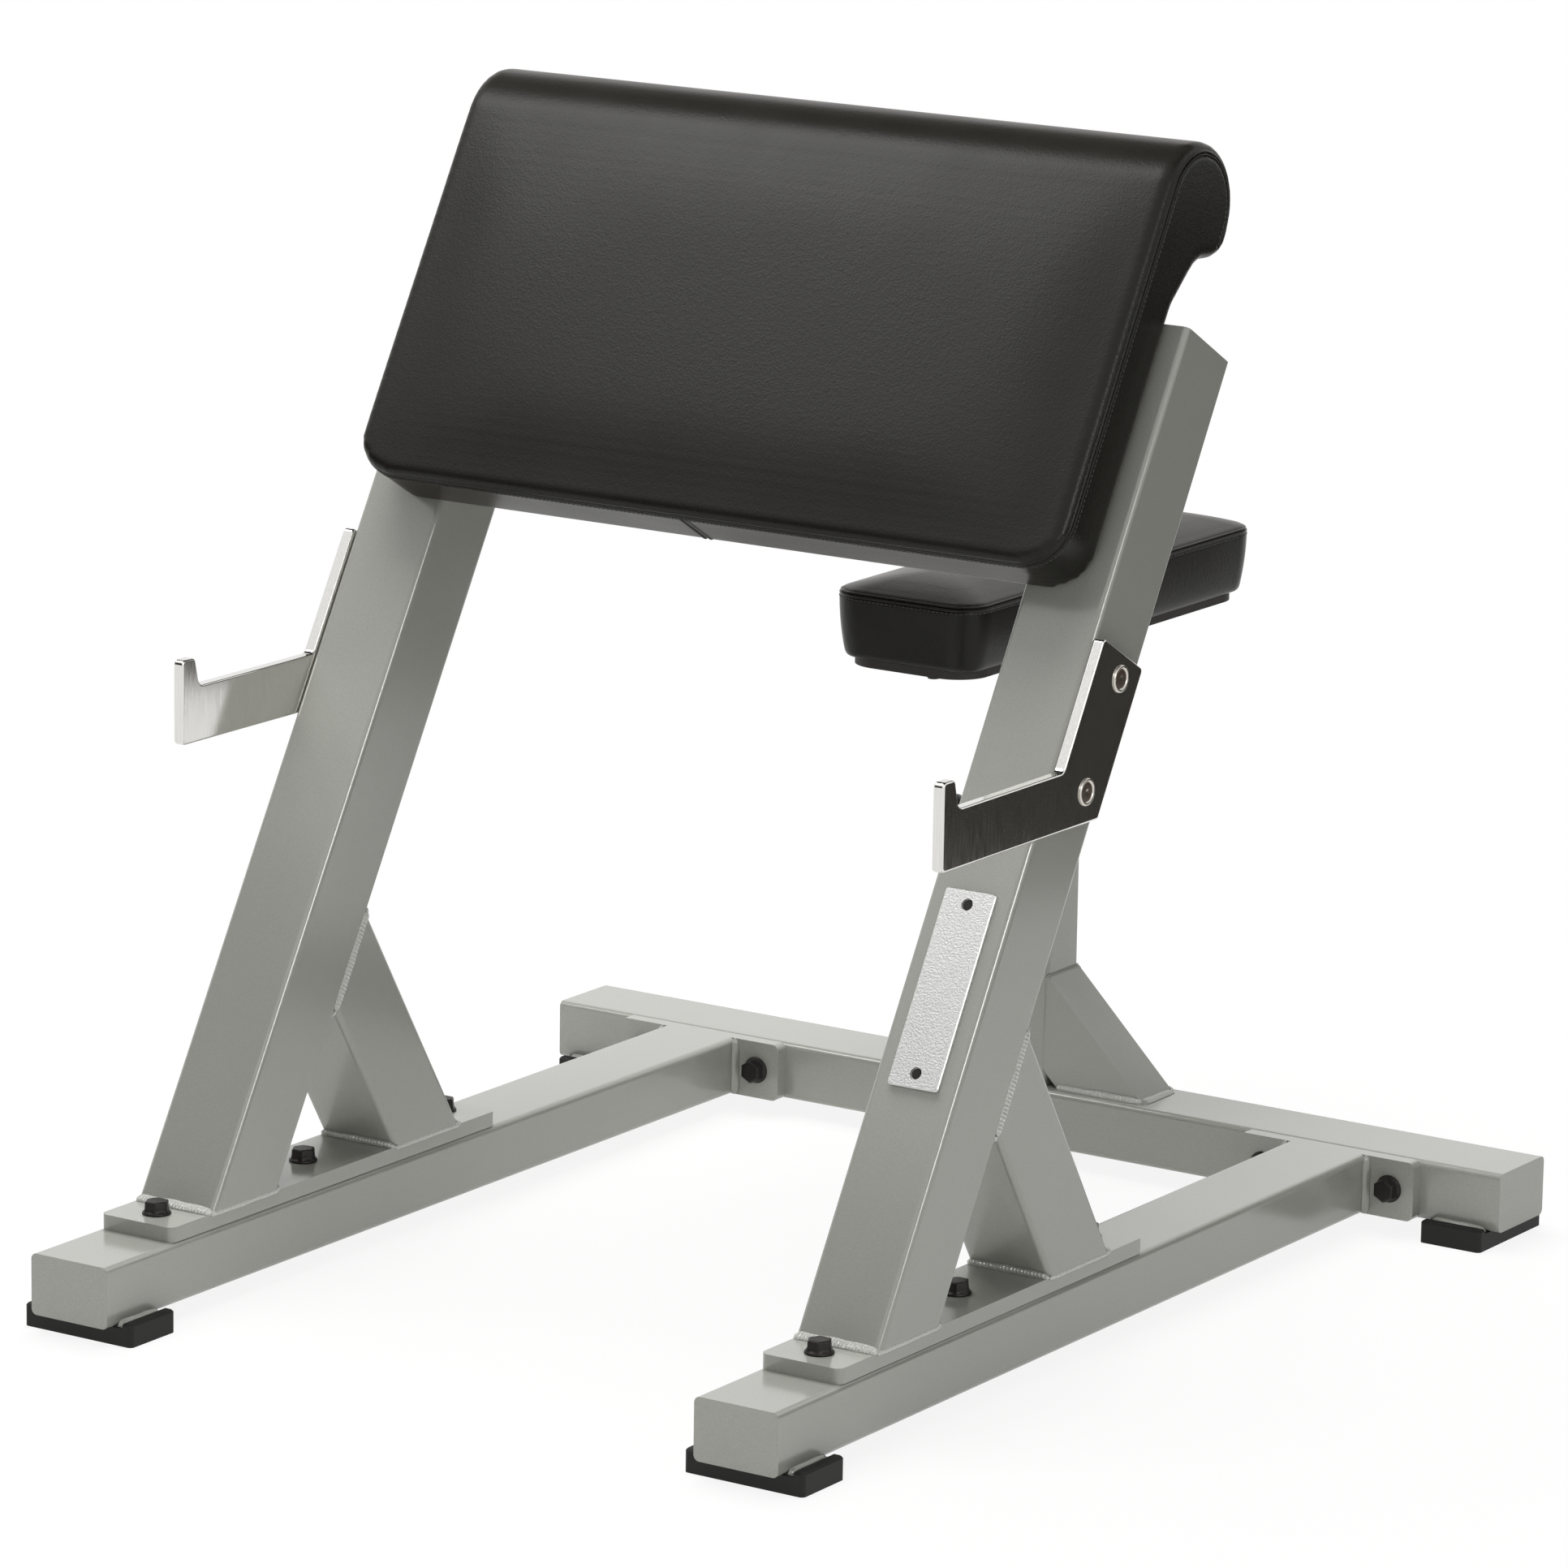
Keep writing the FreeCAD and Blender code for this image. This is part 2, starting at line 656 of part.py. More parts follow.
def brace(side, sign):
    def top_line(y):
        gap = "(brace_spread * lean_cos - upright_depth)"
        return f"({gap} + {y} * vee_cos) / vee_sin"
    length = f"{top_line('(brace_depth + overrun)')} + overrun"
    tube = bar(f"{side}_brace", "XY", BRACE_SECTION, length, "tube_corner")
    hollow(tube, "XY", BRACE_BORE)
    trim(tube, lambda y: f"(plate_top - {y} * brace_sin) / brace_cos", "brace_depth", "-overrun")
    trim(tube, top_line, "brace_depth", f"{length} + overrun")
    place(tube, f"{sign} * leg_x", "brace_y", "0", X_AXIS, "brace_lean")


def base_plate(side, sign):
    plate = bar(f"{side}_base_plate", "XY", centred("base_plate_width", "base_plate_length"),
                "base_plate_thick", "base_plate_corner")
    pocket(plate, circles(plate, "XY", [("0", step) for step in BASE_BOLT_STEPS], "bolt_hole"), middle=True)
    place(plate, f"{sign} * leg_x", "plate_middle_y", "leg_top")


for side, sign in SIDES:
    upright(side, sign)
    brace(side, sign)
    base_plate(side, sign)


def cross_tube():
    """The tube that ties the uprights together behind the arm pad."""
    section = rectangle("0", "cross_tube_reach - tube_width / 2", "tube_height",
                        "cross_tube_reach + tube_width / 2")
    bore = rectangle("tube_wall", "cross_tube_reach - tube_width / 2 + tube_wall",
                     "tube_height - tube_wall", "cross_tube_reach + tube_width / 2 - tube_wall")
    tube = bar("pad_cross_tube", "YZ", section, "leg_spacing - upright_width", "tube_corner", middle=True)
    hollow(tube, "YZ", bore)
    place(tube, "0", "upright_y", "0", X_AXIS, UPRIGHT_TURN)


cross_tube()


# Bolts and nuts of the frame

def frame_fasteners():
    base_spots = []
    for _, sign in SIDES:
        for step in BASE_BOLT_STEPS:
            base_spots.append((f"{sign} * leg_x", f"plate_middle_y + {step}"))
    base_bolt = flange_bolt("base_bolt", "base_plate_thick + tube_wall")
    copies("base_bolts", base_bolt, [at(x, y, "plate_top") for x, y in base_spots])
    nut = hexagon_nut("frame_nut", "bolt_head_flats", "nut_height", "bolt_diameter")
    copies("base_weld_nuts", nut, [at(x, y, "leg_top - tube_wall") for x, y in base_spots])
    beam_bolt = flange_bolt("beam_bolt", "flange_thick + tube_width")
    front = [at(x, "flange_y", "leg_middle", X_AXIS, HEAD_TO_FRONT) for x in BEAM_BOLTS]
    back = [at(x, "beam_y + tube_width / 2", "leg_middle", X_AXIS, HEAD_TO_FRONT) for x in BEAM_BOLTS]
    copies("flange_bolts", beam_bolt, front)
    copies("flange_nuts", nut, back)


frame_fasteners()


# Bar hooks: an arm with an upturned tip, cut from plate, flat against the outside of each upright

def slope_point(depth, reach):
    """Y and Z of a point that lies behind the uprights' front face and up their slope."""
    return (f"upright_y + ({reach}) * lean_sin + ({depth}) * lean_cos",
            f"({reach}) * lean_cos - ({depth}) * lean_sin")


def bar_hook(side, sign):
    tip_front = "hook_notch_front - hook_tip_base"
    tip_top = "hook_arm_top + hook_tip_rise"
    points = [
        (tip_front, "hook_arm_floor"),
        ("upright_y + hook_arm_floor * lean_tan + hook_back / lean_cos", "hook_arm_floor"),
        slope_point("hook_back", "hook_top_reach"),
        slope_point("-hook_overhang", "hook_top_reach"),
        ("hook_notch_back", "hook_arm_top"),
        ("hook_notch_front", "hook_arm_top"),
        (f"{tip_front} + hook_tip_top", tip_top),
        (tip_front, tip_top),
    ]
    body = new_body(f"{side}_bar_hook")
    pad(body, outline(body, "YZ", points), "hook_thick", back=sign < 0)
    corners = [(value(y), value(z)) for y, z in points]
    across = along(X_AXIS)

    def corner_test(wanted):
        spots = [corners[i] for i in wanted]
        small = value("hook_outer_corner") / 10

        def test(edge):
            middle = edge.CenterOfMass
            near = any(math.dist((middle.y, middle.z), spot) < small for spot in spots)
            return near and across(edge)
        return test
    ease_edges(body, "hook_inner_corner", corner_test([4, 5]))
    ease_edges(body, "hook_outer_corner", corner_test([0, 1, 2, 3, 6, 7]))
    holes = [slope_point("upright_depth / 2", reach) for reach in UPRIGHT_HOOK_BOLTS]
    pocket(body, circles(body, "YZ", holes, "hook_hole"), middle=True)
    place(body, f"{sign} * hook_x")


def hook_fasteners():
    grip = "hook_thick + tube_wall + hook_nut_height + bolt_spare"
    bolt = button_bolt("hook_bolt", "hook_bolt_diameter", "hook_bolt_head", "hook_bolt_head_height", grip,
                       ("hook_bolt_socket", "hook_bolt_socket_depth"))
    nut = hexagon_nut("hook_nut", "hook_nut_flats", "hook_nut_height", "hook_bolt_diameter")
    bolts, nuts = [], []
    for _, sign in SIDES:
        for reach in UPRIGHT_HOOK_BOLTS:
            y, z = slope_point("upright_depth / 2", reach)
            bolts.append(at(f"{sign} * (hook_x + hook_thick)", y, z, Y_AXIS, sign * HEAD_TO_FRONT))
            nuts.append(at(f"{sign} * (hook_x - tube_wall)", y, z, Y_AXIS, sign * HEAD_TO_FRONT))
    copies("hook_bolts", bolt, bolts)
    copies("hook_weld_nuts", nut, nuts)


for side, sign in SIDES:
    bar_hook(side, sign)
hook_fasteners()


# Bare cast plate with bevelled edges and sunk screws, on the front of the right upright

def badge():
    face = rectangle("-badge_width / 2", "badge_reach - badge_length / 2",
                     "badge_width / 2", "badge_reach + badge_length / 2")
    body = bar("badge_plate", "XZ", face, "badge_thick", "badge_corner")
    thick = value("badge_thick")

    def on_front(edge):
        return abs(edge.CenterOfMass.y + thick) < thick / 100
    ease_edges(body, "badge_bevel", on_front, "Chamfer")
    screws = [("0", reach) for reach in BADGE_SCREWS]
    pocket(body, circles(body, "XZ", screws, "badge_screw_diameter + 2 * hole_play"), middle=True)
    sinks = circles(body, "XZ", screws, "badge_screw_head + 2 * hole_play", "badge_thick")
    pocket(body, sinks, "badge_screw_sink")
    place(body, "leg_x", "upright_y", "0", X_AXIS, UPRIGHT_TURN)
    screw = button_bolt("badge_screw", "badge_screw_diameter", "badge_screw_head",
                        "badge_screw_head_height", "badge_screw_length")
    front = "-badge_thick + badge_screw_sink"
    turn = HEAD_TO_FRONT - value("upright_lean")
    spots = [("leg_x",) + slope_point(front, reach) for reach in BADGE_SCREWS]
    copies("badge_screws", screw, [at(*spot, X_AXIS, turn) for spot in spots])


badge()


# Arm pad: a sloping face that rolls over to the back at its top, on a board, bolted through the uprights

# Shares of the roll's radius, from its centre: the lip under the roll and the hollow below it
LIP_SHARES = [(-0.74, -0.46), (-0.40, -0.62), (-0.25, -0.88), (-0.10, -1.45)]
LIP_START_DEGREES = 197.0


def arm_pad_profile():
    """Side view of the pad as a face: depth y (negative to the front) against the way z up the slope."""
    thick, crown, radius = value("pad_thick"), value("pad_crown"), value("roll_radius")
    low, face, edge = value("pad_reach"), value("pad_face"), value("pad_seam_round")
    centre_y, centre_z = radius - thick, low + face

    def spot(y, z):
        return FreeCAD.Vector(0, y, z)

    def on_roll(degrees):
        angle = math.radians(degrees)
        return spot(centre_y - radius * math.cos(angle), centre_z + radius * math.sin(angle))
    lip = [spot(centre_y - y * radius, centre_z + z * radius) for y, z in LIP_SHARES]
    edges = [
        Part.LineSegment(spot(0, low), spot(-thick + edge, low)),
        Part.Arc(spot(-thick + edge, low), spot(-thick + edge * (1 - math.sqrt(0.5)),
                 low + edge * (1 - math.sqrt(0.5))), spot(-thick, low + edge)),
        Part.Arc(spot(-thick, low + edge), spot(-thick - crown, low + face / 2), on_roll(0)),
        Part.Arc(on_roll(0), on_roll(45), on_roll(90)),
        Part.Arc(on_roll(90), on_roll(145), on_roll(LIP_START_DEGREES)),
        Part.Arc(on_roll(LIP_START_DEGREES), lip[0], lip[1]),
        Part.Arc(lip[1], lip[2], spot(0, lip[3].z)),
        Part.LineSegment(spot(0, lip[3].z), spot(0, low)),
    ]
    return Part.Face(Part.Wire([piece.toShape() for piece in edges]))


def arm_pad_front():
    """Front view of the pad as a face: rounded lower corners and sides drawn in between the corners."""
    half, corner, low = value("pad_width / 2"), value("pad_corner"), value("pad_reach")
    drawn, top = value("pad_drawn_in"), value("pad_reach + pad_face + 2 * roll_radius")
    bend = corner * (1 - math.sqrt(0.5))

    def spot(x, z):
        return FreeCAD.Vector(x, 0, z)
    middle = low + value("pad_face") / 2
    edges = [
        Part.LineSegment(spot(corner - half, low), spot(half - corner, low)),
        Part.Arc(spot(half - corner, low), spot(half - bend, low + bend), spot(half, low + corner)),
        Part.Arc(spot(half, low + corner), spot(half - drawn, middle + corner / 2), spot(half, top)),
        Part.LineSegment(spot(half, top), spot(-half, top)),
        Part.Arc(spot(-half, top), spot(drawn - half, middle + corner / 2), spot(-half, low + corner)),
        Part.Arc(spot(-half, low + corner), spot(bend - half, low + bend), spot(corner - half, low)),
    ]
    return Part.Face(Part.Wire([piece.toShape() for piece in edges]))


PAD_BOARD_LOW = "pad_reach + pad_board_inset"
PAD_BOARD_LENGTH = "pad_face - roll_radius - pad_board_inset"
PAD_BOARD_WIDTH = "pad_width - 2 * pad_board_inset"


def arm_pad():
    half, far = value("pad_width / 2 + overrun"), value("pad_thick + 2 * roll_radius")
    profile = arm_pad_profile()
    profile.translate(FreeCAD.Vector(-half, 0, 0))
    front = arm_pad_front()
    front.translate(FreeCAD.Vector(0, -far, 0))
    solid = profile.extrude(X_AXIS * (2 * half)).common(front.extrude(Y_AXIS * (2 * far)))
    play, thick = value("pad_board_play"), value("pad_board_thick")
    wide, long = value(PAD_BOARD_WIDTH) + 2 * play, value(PAD_BOARD_LENGTH) + 2 * play
    corner = FreeCAD.Vector(-wide / 2, -thick, value(PAD_BOARD_LOW) - play)
    recess = Part.makeBox(wide, thick + value("overrun"), long, corner)
    cushion = keep(doc.addObject("Part::Feature", "arm_pad"), "arm_pad")
    cushion.Shape = solid.cut(recess).Solids[0]
    place(cushion, "0", "upright_y", "0", X_AXIS, UPRIGHT_TURN)

    edges = rectangle(f"-({PAD_BOARD_WIDTH}) / 2", PAD_BOARD_LOW, f"({PAD_BOARD_WIDTH}) / 2",
                      f"{PAD_BOARD_LOW} + {PAD_BOARD_LENGTH}")
    board = new_body("arm_pad_board")
    pad(board, outline(board, "XZ", edges), "pad_board_thick")
    spots = [(f"{sign} * pad_bolt_x", reach) for _, sign in SIDES for reach in PAD_BOLTS]
    pocket(board, circles(board, "XZ", spots, "pad_hole"), middle=True)
    flanges = circles(board, "XZ", spots, "tee_nut_flange + 2 * hole_play", "pad_board_thick")
    pocket(board, flanges, "tee_nut_flange_thick")
    place(board, "0", "upright_y", "0", X_AXIS, UPRIGHT_TURN)


def pad_fasteners():
    length = "pad_washer_thick + upright_depth + pad_board_thick - tee_nut_flange_thick"
    head = hexagon("pad_bolt_hex", "pad_bolt_flats", "pad_bolt_head")
    washer = primitive("Cylinder", "pad_bolt_washer", Radius="pad_washer / 2", Height="pad_washer_thick")
    bind(washer, "Placement.Base.z", "-pad_washer_thick")
    shank = primitive("Cylinder", "pad_bolt_shank", Radius="pad_bolt_diameter / 2", Height=length)
    bind(shank, "Placement.Base.z", f"-({length})")
    bolt = fused("pad_bolt", [head, washer, shank])
    cup = primitive("Cylinder", "tee_nut", Radius="tee_nut_flange / 2", Height="tee_nut_flange_thick")
    turn = HEAD_TO_BACK - value("upright_lean")
    bolts, cups = [], []
    for _, sign in SIDES:
        for reach in PAD_BOLTS:
            back = slope_point("upright_depth + pad_washer_thick", reach)
            front = slope_point("-pad_board_thick", reach)
            bolts.append(at(f"{sign} * pad_bolt_x", *back, X_AXIS, turn))
            cups.append(at(f"{sign} * pad_bolt_x", *front, X_AXIS, turn))
    copies("pad_bolts", bolt, bolts)
    copies("pad_tee_nuts", cup, cups)


arm_pad()
pad_fasteners()


# Seat post: a sleeve welded on the beam between two box gussets, a plastic bush and the inner post

SEAT_STEPS = (-1, 0, 1, 2)


def square(width):
    return centred(width, width)


def seat_sleeve():
    tube = bar("seat_sleeve", "XY", square("sleeve_width"), "sleeve_height", "sleeve_corner")
    hollow(tube, "XY", square("sleeve_width - 2 * sleeve_wall"))
    pocket(tube, circles(tube, "YZ", [("0", "pin_z - leg_top")], "pin_hole"))
    place(tube, "0", "beam_y", "leg_top")


def post_gusset(side, sign):
    """A folded gusset: two cheeks and a sloping face, open to the post and to the beam."""
    def x(text):
        return f"{sign} * (sleeve_width / 2 + {text})"
    body = new_body(f"{side}_post_gusset")
    cheek = [(x("gusset_notch"), "0"), (x("gusset_leg"), "0"), (x("0"), "gusset_rise"),
             (x("0"), "gusset_notch")]
    pad(body, outline(body, "XZ", cheek), "sleeve_width", middle=True)
    room = [(x("-overrun"), "-overrun"),
            (x("gusset_leg - 2 * gusset_thick + overrun * gusset_leg / gusset_rise"), "-overrun"),
            (x("-overrun"), "gusset_rise - 2 * gusset_thick + overrun * gusset_rise / gusset_leg")]
    pocket(body, outline(body, "XZ", room), "sleeve_width - 2 * gusset_thick", middle=True)
    place(body, "0", "beam_y", "leg_top")


def sleeve_bush():
    body = bar("sleeve_bush", "XY", square("sleeve_width"), "bush_flange", "sleeve_corner")
    pad(body, outline(body, "XY", square("bush_outer")), "bush_length", back=True)
    pocket(body, outline(body, "XY", square("bush_bore")), middle=True)
    place(body, "0", "beam_y", "sleeve_top")


def inner_post():
    tube = bar("seat_post", "XY", square("post_width"), "post_top - post_bottom", "post_corner")
    hollow(tube, "XY", square("post_width - 2 * post_wall"))
    holes = [("0", f"pin_z - post_bottom + {step} * seat_hole_pitch") for step in SEAT_STEPS]
    pocket(tube, circles(tube, "YZ", holes, "pin_hole"))
    place(tube, "0", "beam_y", "post_bottom")


seat_sleeve()
for side, sign in SIDES:
    post_gusset(side, sign)
sleeve_bush()
inner_post()


# Seat: a bar welded across the top of the post, a board, and a crowned cushion

SEAT_BOLT_STEPS = (-1.5, -0.5, 0.5, 1.5)
SEAT_BOLTS = [("0", f"{step} * seat_bolt_pitch") for step in SEAT_BOLT_STEPS]
# Each row: share of the side's height, and how many times the side is drawn in there
SEAT_SIDE_SHARES = [(0.0, 1.0), (0.45, 0.2), (0.82, 0.0), (1.0, 0.6)]
# The corners of the crown's rings take at most this share of their half width
SEAT_CORNER_SHARE = 0.9
# Each row: share of the crown's height, and share of the half width that the crown has drawn in there
SEAT_CROWN_SHARES = [(0.55, 0.16), (0.88, 0.42), (1.0, 0.75)]


def rounded_ring(length, width, corner, height):
    """A level rounded rectangle as a wire."""
    def spot(x, y):
        return FreeCAD.Vector(x, y, height)
    bend = corner * (1 - math.sqrt(0.5))
    pieces = []
    corners = [(1, 1), (-1, 1), (-1, -1), (1, -1)]
    ends = []
    for sign_x, sign_y in corners:
        side = spot(sign_x * width, sign_y * (length - corner))
        middle = spot(sign_x * (width - bend), sign_y * (length - bend))
        end = spot(sign_x * (width - corner), sign_y * length)
        first, last = (side, end) if sign_x * sign_y > 0 else (end, side)
        ends.append((first, middle, last))
    for i, (first, middle, last) in enumerate(ends):
        pieces.append(Part.Arc(first, middle, last).toShape())
        pieces.append(Part.LineSegment(last, ends[(i + 1) % len(ends)][0]).toShape())
    return Part.Wire(pieces)


def seat_cushion():
    half_length, half_width = value("seat_length / 2"), value("seat_width / 2")
    corner, drawn = value("seat_corner"), value("seat_drawn_in")
    side, crown = value("seat_side"), value("seat_crown")
    rows = [(share * side, times * drawn) for share, times in SEAT_SIDE_SHARES]
    rows += [(side + share * crown, drawn + inset * half_width) for share, inset in SEAT_CROWN_SHARES]
    rings = []
    for height, inset in rows:
        tight = min(corner, (half_width - inset) * SEAT_CORNER_SHARE)
        rings.append(rounded_ring(half_length - inset, half_width - inset, tight, height))
    solid = Part.makeLoft(rings, True, True)
    play, sunk = value("seat_board_play"), value("seat_board_sunk")
    inset = value("seat_board_inset") - play
    room = rounded_ring(half_length - inset, half_width - inset, corner, -sunk)
    recess = Part.Face(room).extrude(FreeCAD.Vector(0, 0, 2 * sunk))
    cushion = keep(doc.addObject("Part::Feature", "seat_cushion"), "seat_cushion")
    cushion.Shape = solid.cut(recess).Solids[0]
    place(cushion, "0", "beam_y", "seat_floor + seat_board_thick - seat_board_sunk")


def seat_board():
    width, length = "seat_width - 2 * seat_board_inset", "seat_length - 2 * seat_board_inset"
    board = bar("seat_board", "XY", centred(width, length), "seat_board_thick", "seat_corner")
    pocket(board, circles(board, "XY", SEAT_BOLTS, "seat_bolt_hole"), middle=True)
    place(board, "0", "beam_y", "seat_floor")


def seat_bar():
    body = bar("seat_bar", "XY", centred("seat_bar_width", "seat_bar_length"), "seat_bar_thick", "post_corner")
    pocket(body, circles(body, "XY", SEAT_BOLTS, "seat_bolt_hole"), middle=True)
    place(body, "0", "beam_y", "post_top")
    bolt = button_bolt("seat_bolt", "seat_bolt_diameter", "seat_bolt_head", "seat_bolt_head_height",
                       "seat_bar_thick + seat_board_thick")
    copies("seat_bolts", bolt, [at(x, f"beam_y + {y}", "post_top", X_AXIS, HEAD_DOWN) for x, y in SEAT_BOLTS])


seat_cushion()
seat_board()
seat_bar()


# Pull pin, drawn in its pulled position: barrel on the sleeve, plunger, spring and knob. Each is made
# along +Y and turned to point out to the left

SPRING_TURNS = 5
SPRING_STATIONS = 8
WIRE_SIDES = 6
OUT_TO_LEFT = "90"


def place_on_pin(thing, out):
    """Stand a turned piece on the pin's axis, at a distance out from the middle of the post."""
    place(thing, f"-({out})", "beam_y", "pin_z", Z_AXIS, OUT_TO_LEFT)


def pull_pin():
    bore, rod = "pin_collar / 2 + pin_play", "pin_diameter / 2"
    end = "barrel_length - barrel_end"
    barrel = turned("pin_barrel", [
        ("0", bore), ("0", "barrel_diameter / 2"), ("barrel_length", "barrel_diameter / 2"),
        ("barrel_length", f"{rod} + pin_play"), (end, f"{rod} + pin_play"), (end, bore)])
    place_on_pin(barrel, "barrel_out")
    collar, collar_end = "(collar_out - pin_tip_out)", "(collar_out - pin_tip_out + pin_collar_thick)"
    tail = "(knob_out - pin_tip_out + knob_length / 2)"
    plunger = turned("pin_plunger", [
        ("0", "0"), ("0", f"{rod} - pin_park_gap"), ("pin_park_gap", rod), (collar, rod),
        (collar, "pin_collar / 2"), (collar_end, "pin_collar / 2"), (collar_end, rod), (tail, rod),
        (tail, "0")])
    place_on_pin(plunger, "pin_tip_out")
    knob = turned("pin_knob", [
        ("knob_length / 2", "0"), ("knob_length / 2", f"{rod} + hole_play / 2"),
        ("0", f"{rod} + hole_play / 2"), ("0", "knob_hub / 2"), ("knob_length / 3", "knob_hub / 2"),
        ("knob_length / 2", "knob_diameter / 2"), ("knob_length", "knob_diameter / 2"), ("knob_length", "0")])
    rim = value("knob_diameter / 2")

    def on_rim(edge):
        return isinstance(edge.Curve, Part.Circle) and abs(edge.Curve.Radius - rim) < rim / 100
    ease_edges(knob, "knob_bevel", on_rim, "Chamfer")
    place_on_pin(knob, "knob_out")


def pin_spring():
    """A coil between the collar and the end of the barrel: a six-sided wire, lofted round in flats."""
    wire = value("spring_wire") / 2
    radius = value("pin_collar / 2") - 2 * wire
    length = value("barrel_length - barrel_end - pin_park_gap - pin_travel - pin_collar_thick") - 2 * wire
    stations = SPRING_TURNS * SPRING_STATIONS
    rings = []
    for station in range(stations + 1):
        turn = math.tau * station / SPRING_STATIONS
        middle = wire + length * station / stations
        corners = []
        for side in range(WIRE_SIDES + 1):
            angle = math.tau * side / WIRE_SIDES
            out = radius + wire * math.cos(angle)
            corners.append(FreeCAD.Vector(out * math.cos(turn), middle + wire * math.sin(angle),
                                          out * math.sin(turn)))
        rings.append(Part.makePolygon(corners))
    coil = keep(doc.addObject("Part::Feature", "pin_spring"), "pin_spring")
    coil.Shape = Part.makeLoft(rings, True, True)
    place_on_pin(coil, "collar_out + pin_collar_thick")


pull_pin()
pin_spring()

doc.recompute()
for thing in doc.Objects:
    if "Invalid" in thing.State or "Error" in thing.State:
        raise ValueError(thing.Label + ": " + str(thing.State))
for thing in nodes:
    if thing.Shape.isNull() or not thing.Shape.isValid() or not thing.Shape.Solids:
        raise ValueError(thing.Label + ": not a sound solid")

os.makedirs("parts", exist_ok=True)
for thing in nodes:
    thing.Shape.exportStep(os.path.join("parts", thing.Label + ".step"))
print(len(nodes), "nodes written")
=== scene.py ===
# %% [markdown]
# A preacher curl bench. Two legs of rectangular steel tube are bolted to a rear beam, two leaning uprights
# carry a sloping arm pad with a rolled top and a pair of plated bar hooks, and a narrow seat stands on a post.
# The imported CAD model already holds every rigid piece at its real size, so this lesson only adds what CAD is
# poor at: stuffed vinyl pads, sewn seams, weld beads, and the finish of each surface.

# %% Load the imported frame
import json
import math

import bpy
import numpy as np
from mathutils import Matrix, Vector


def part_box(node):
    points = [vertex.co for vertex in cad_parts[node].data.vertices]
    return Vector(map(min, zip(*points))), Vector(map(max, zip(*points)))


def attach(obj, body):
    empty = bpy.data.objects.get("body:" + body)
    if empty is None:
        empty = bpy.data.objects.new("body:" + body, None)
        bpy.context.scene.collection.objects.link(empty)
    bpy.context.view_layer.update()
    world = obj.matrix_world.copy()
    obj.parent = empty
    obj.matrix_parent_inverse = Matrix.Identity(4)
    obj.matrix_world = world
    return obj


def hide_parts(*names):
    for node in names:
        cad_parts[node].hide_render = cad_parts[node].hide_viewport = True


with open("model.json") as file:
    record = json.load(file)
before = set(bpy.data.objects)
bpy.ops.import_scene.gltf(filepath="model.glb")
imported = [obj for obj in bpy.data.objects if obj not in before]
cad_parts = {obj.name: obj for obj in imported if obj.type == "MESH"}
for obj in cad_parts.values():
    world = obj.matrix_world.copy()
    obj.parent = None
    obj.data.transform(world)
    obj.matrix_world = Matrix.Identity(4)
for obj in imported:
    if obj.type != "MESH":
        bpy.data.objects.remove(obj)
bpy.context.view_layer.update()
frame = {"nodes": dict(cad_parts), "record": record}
MM = 0.001

# %% [markdown]
# The camera stands where the photographer stood. Its place, turn and focal length were fitted to the corners
# of the tubes in the photo, so a long lens about six metres away, not a wide one close by. Matching the lens
# first is worth it: every later comparison of shape depends on it. The small sideways shift is there because
# the photo was cropped a little off its optical centre.

# %% Camera
PHOTO_SIDE = 1932
FOCAL_PIXELS = 9599.0
OPTICAL_CENTRE = (906.4, 947.0)
CAMERA_PLACE = Vector((3.4007, -5.2225, 1.8217))
azimuth, elevation, roll = (math.radians(angle) for angle in (33.7, 12.84, 0.82))
SENSOR = 36.0


def camera_axes():
    """Right, up and backward of the camera: turned by azimuth and elevation, then rolled about the view."""
    backward = Vector((math.sin(azimuth) * math.cos(elevation), -math.cos(azimuth) * math.cos(elevation),
                       math.sin(elevation)))
    level = Vector((math.cos(azimuth), math.sin(azimuth), 0))
    upright = backward.cross(level)
    return (math.cos(roll) * level + math.sin(roll) * upright,
            math.cos(roll) * upright - math.sin(roll) * level, backward)


lens = bpy.data.cameras.new("photo_camera")
lens.sensor_width = SENSOR
lens.lens = FOCAL_PIXELS / PHOTO_SIDE * SENSOR
lens.shift_x = 0.5 - OPTICAL_CENTRE[0] / PHOTO_SIDE
lens.shift_y = OPTICAL_CENTRE[1] / PHOTO_SIDE - 0.5
lens.clip_end = 100
camera = bpy.data.objects.new("photo_camera", lens)
camera.matrix_world = Matrix.Translation(CAMERA_PLACE) @ Matrix(camera_axes()).transposed().to_4x4()
bpy.context.scene.collection.objects.link(camera)
bpy.context.scene.camera = camera
bpy.context.scene.view_settings.view_transform = "Standard"
print(f"camera lens {lens.lens:.1f} mm at {tuple(round(v, 2) for v in CAMERA_PLACE)}")

# %% [markdown]
# Every finish below is a small tree of nodes. Colours are written as the sRGB hex values a paint chart would
# give, and one function turns them linear. One function adds a node, sets it and links it, which keeps each
# material down to the few lines that say something about the real surface.

# %% Colour and node helpers


def linear(hex_colour):
    """sRGB to linear, per channel: a straight toe below 0.04, then a 2.4 power curve."""
    channel = np.array([int(hex_colour[i:i + 2], 16) for i in (1, 3, 5)]) / 255
    curve = np.where(channel <= 0.04045, channel / 12.92, ((channel + 0.055) / 1.055) ** 2.4)
    return (*curve, 1.0)


def add(tree, kind, inputs=None, **settings):
    """Add one shader node: settings are its own properties, inputs a value or a link for each socket."""
    node = tree.nodes.new("ShaderNode" + kind)
    for name, setting in settings.items():
        setattr(node, name, setting)
    for socket, given in (inputs or {}).items():
        if isinstance(given, bpy.types.NodeSocket):
            tree.links.new(given, node.inputs[socket])
        else:
            node.inputs[socket].default_value = given
    return node


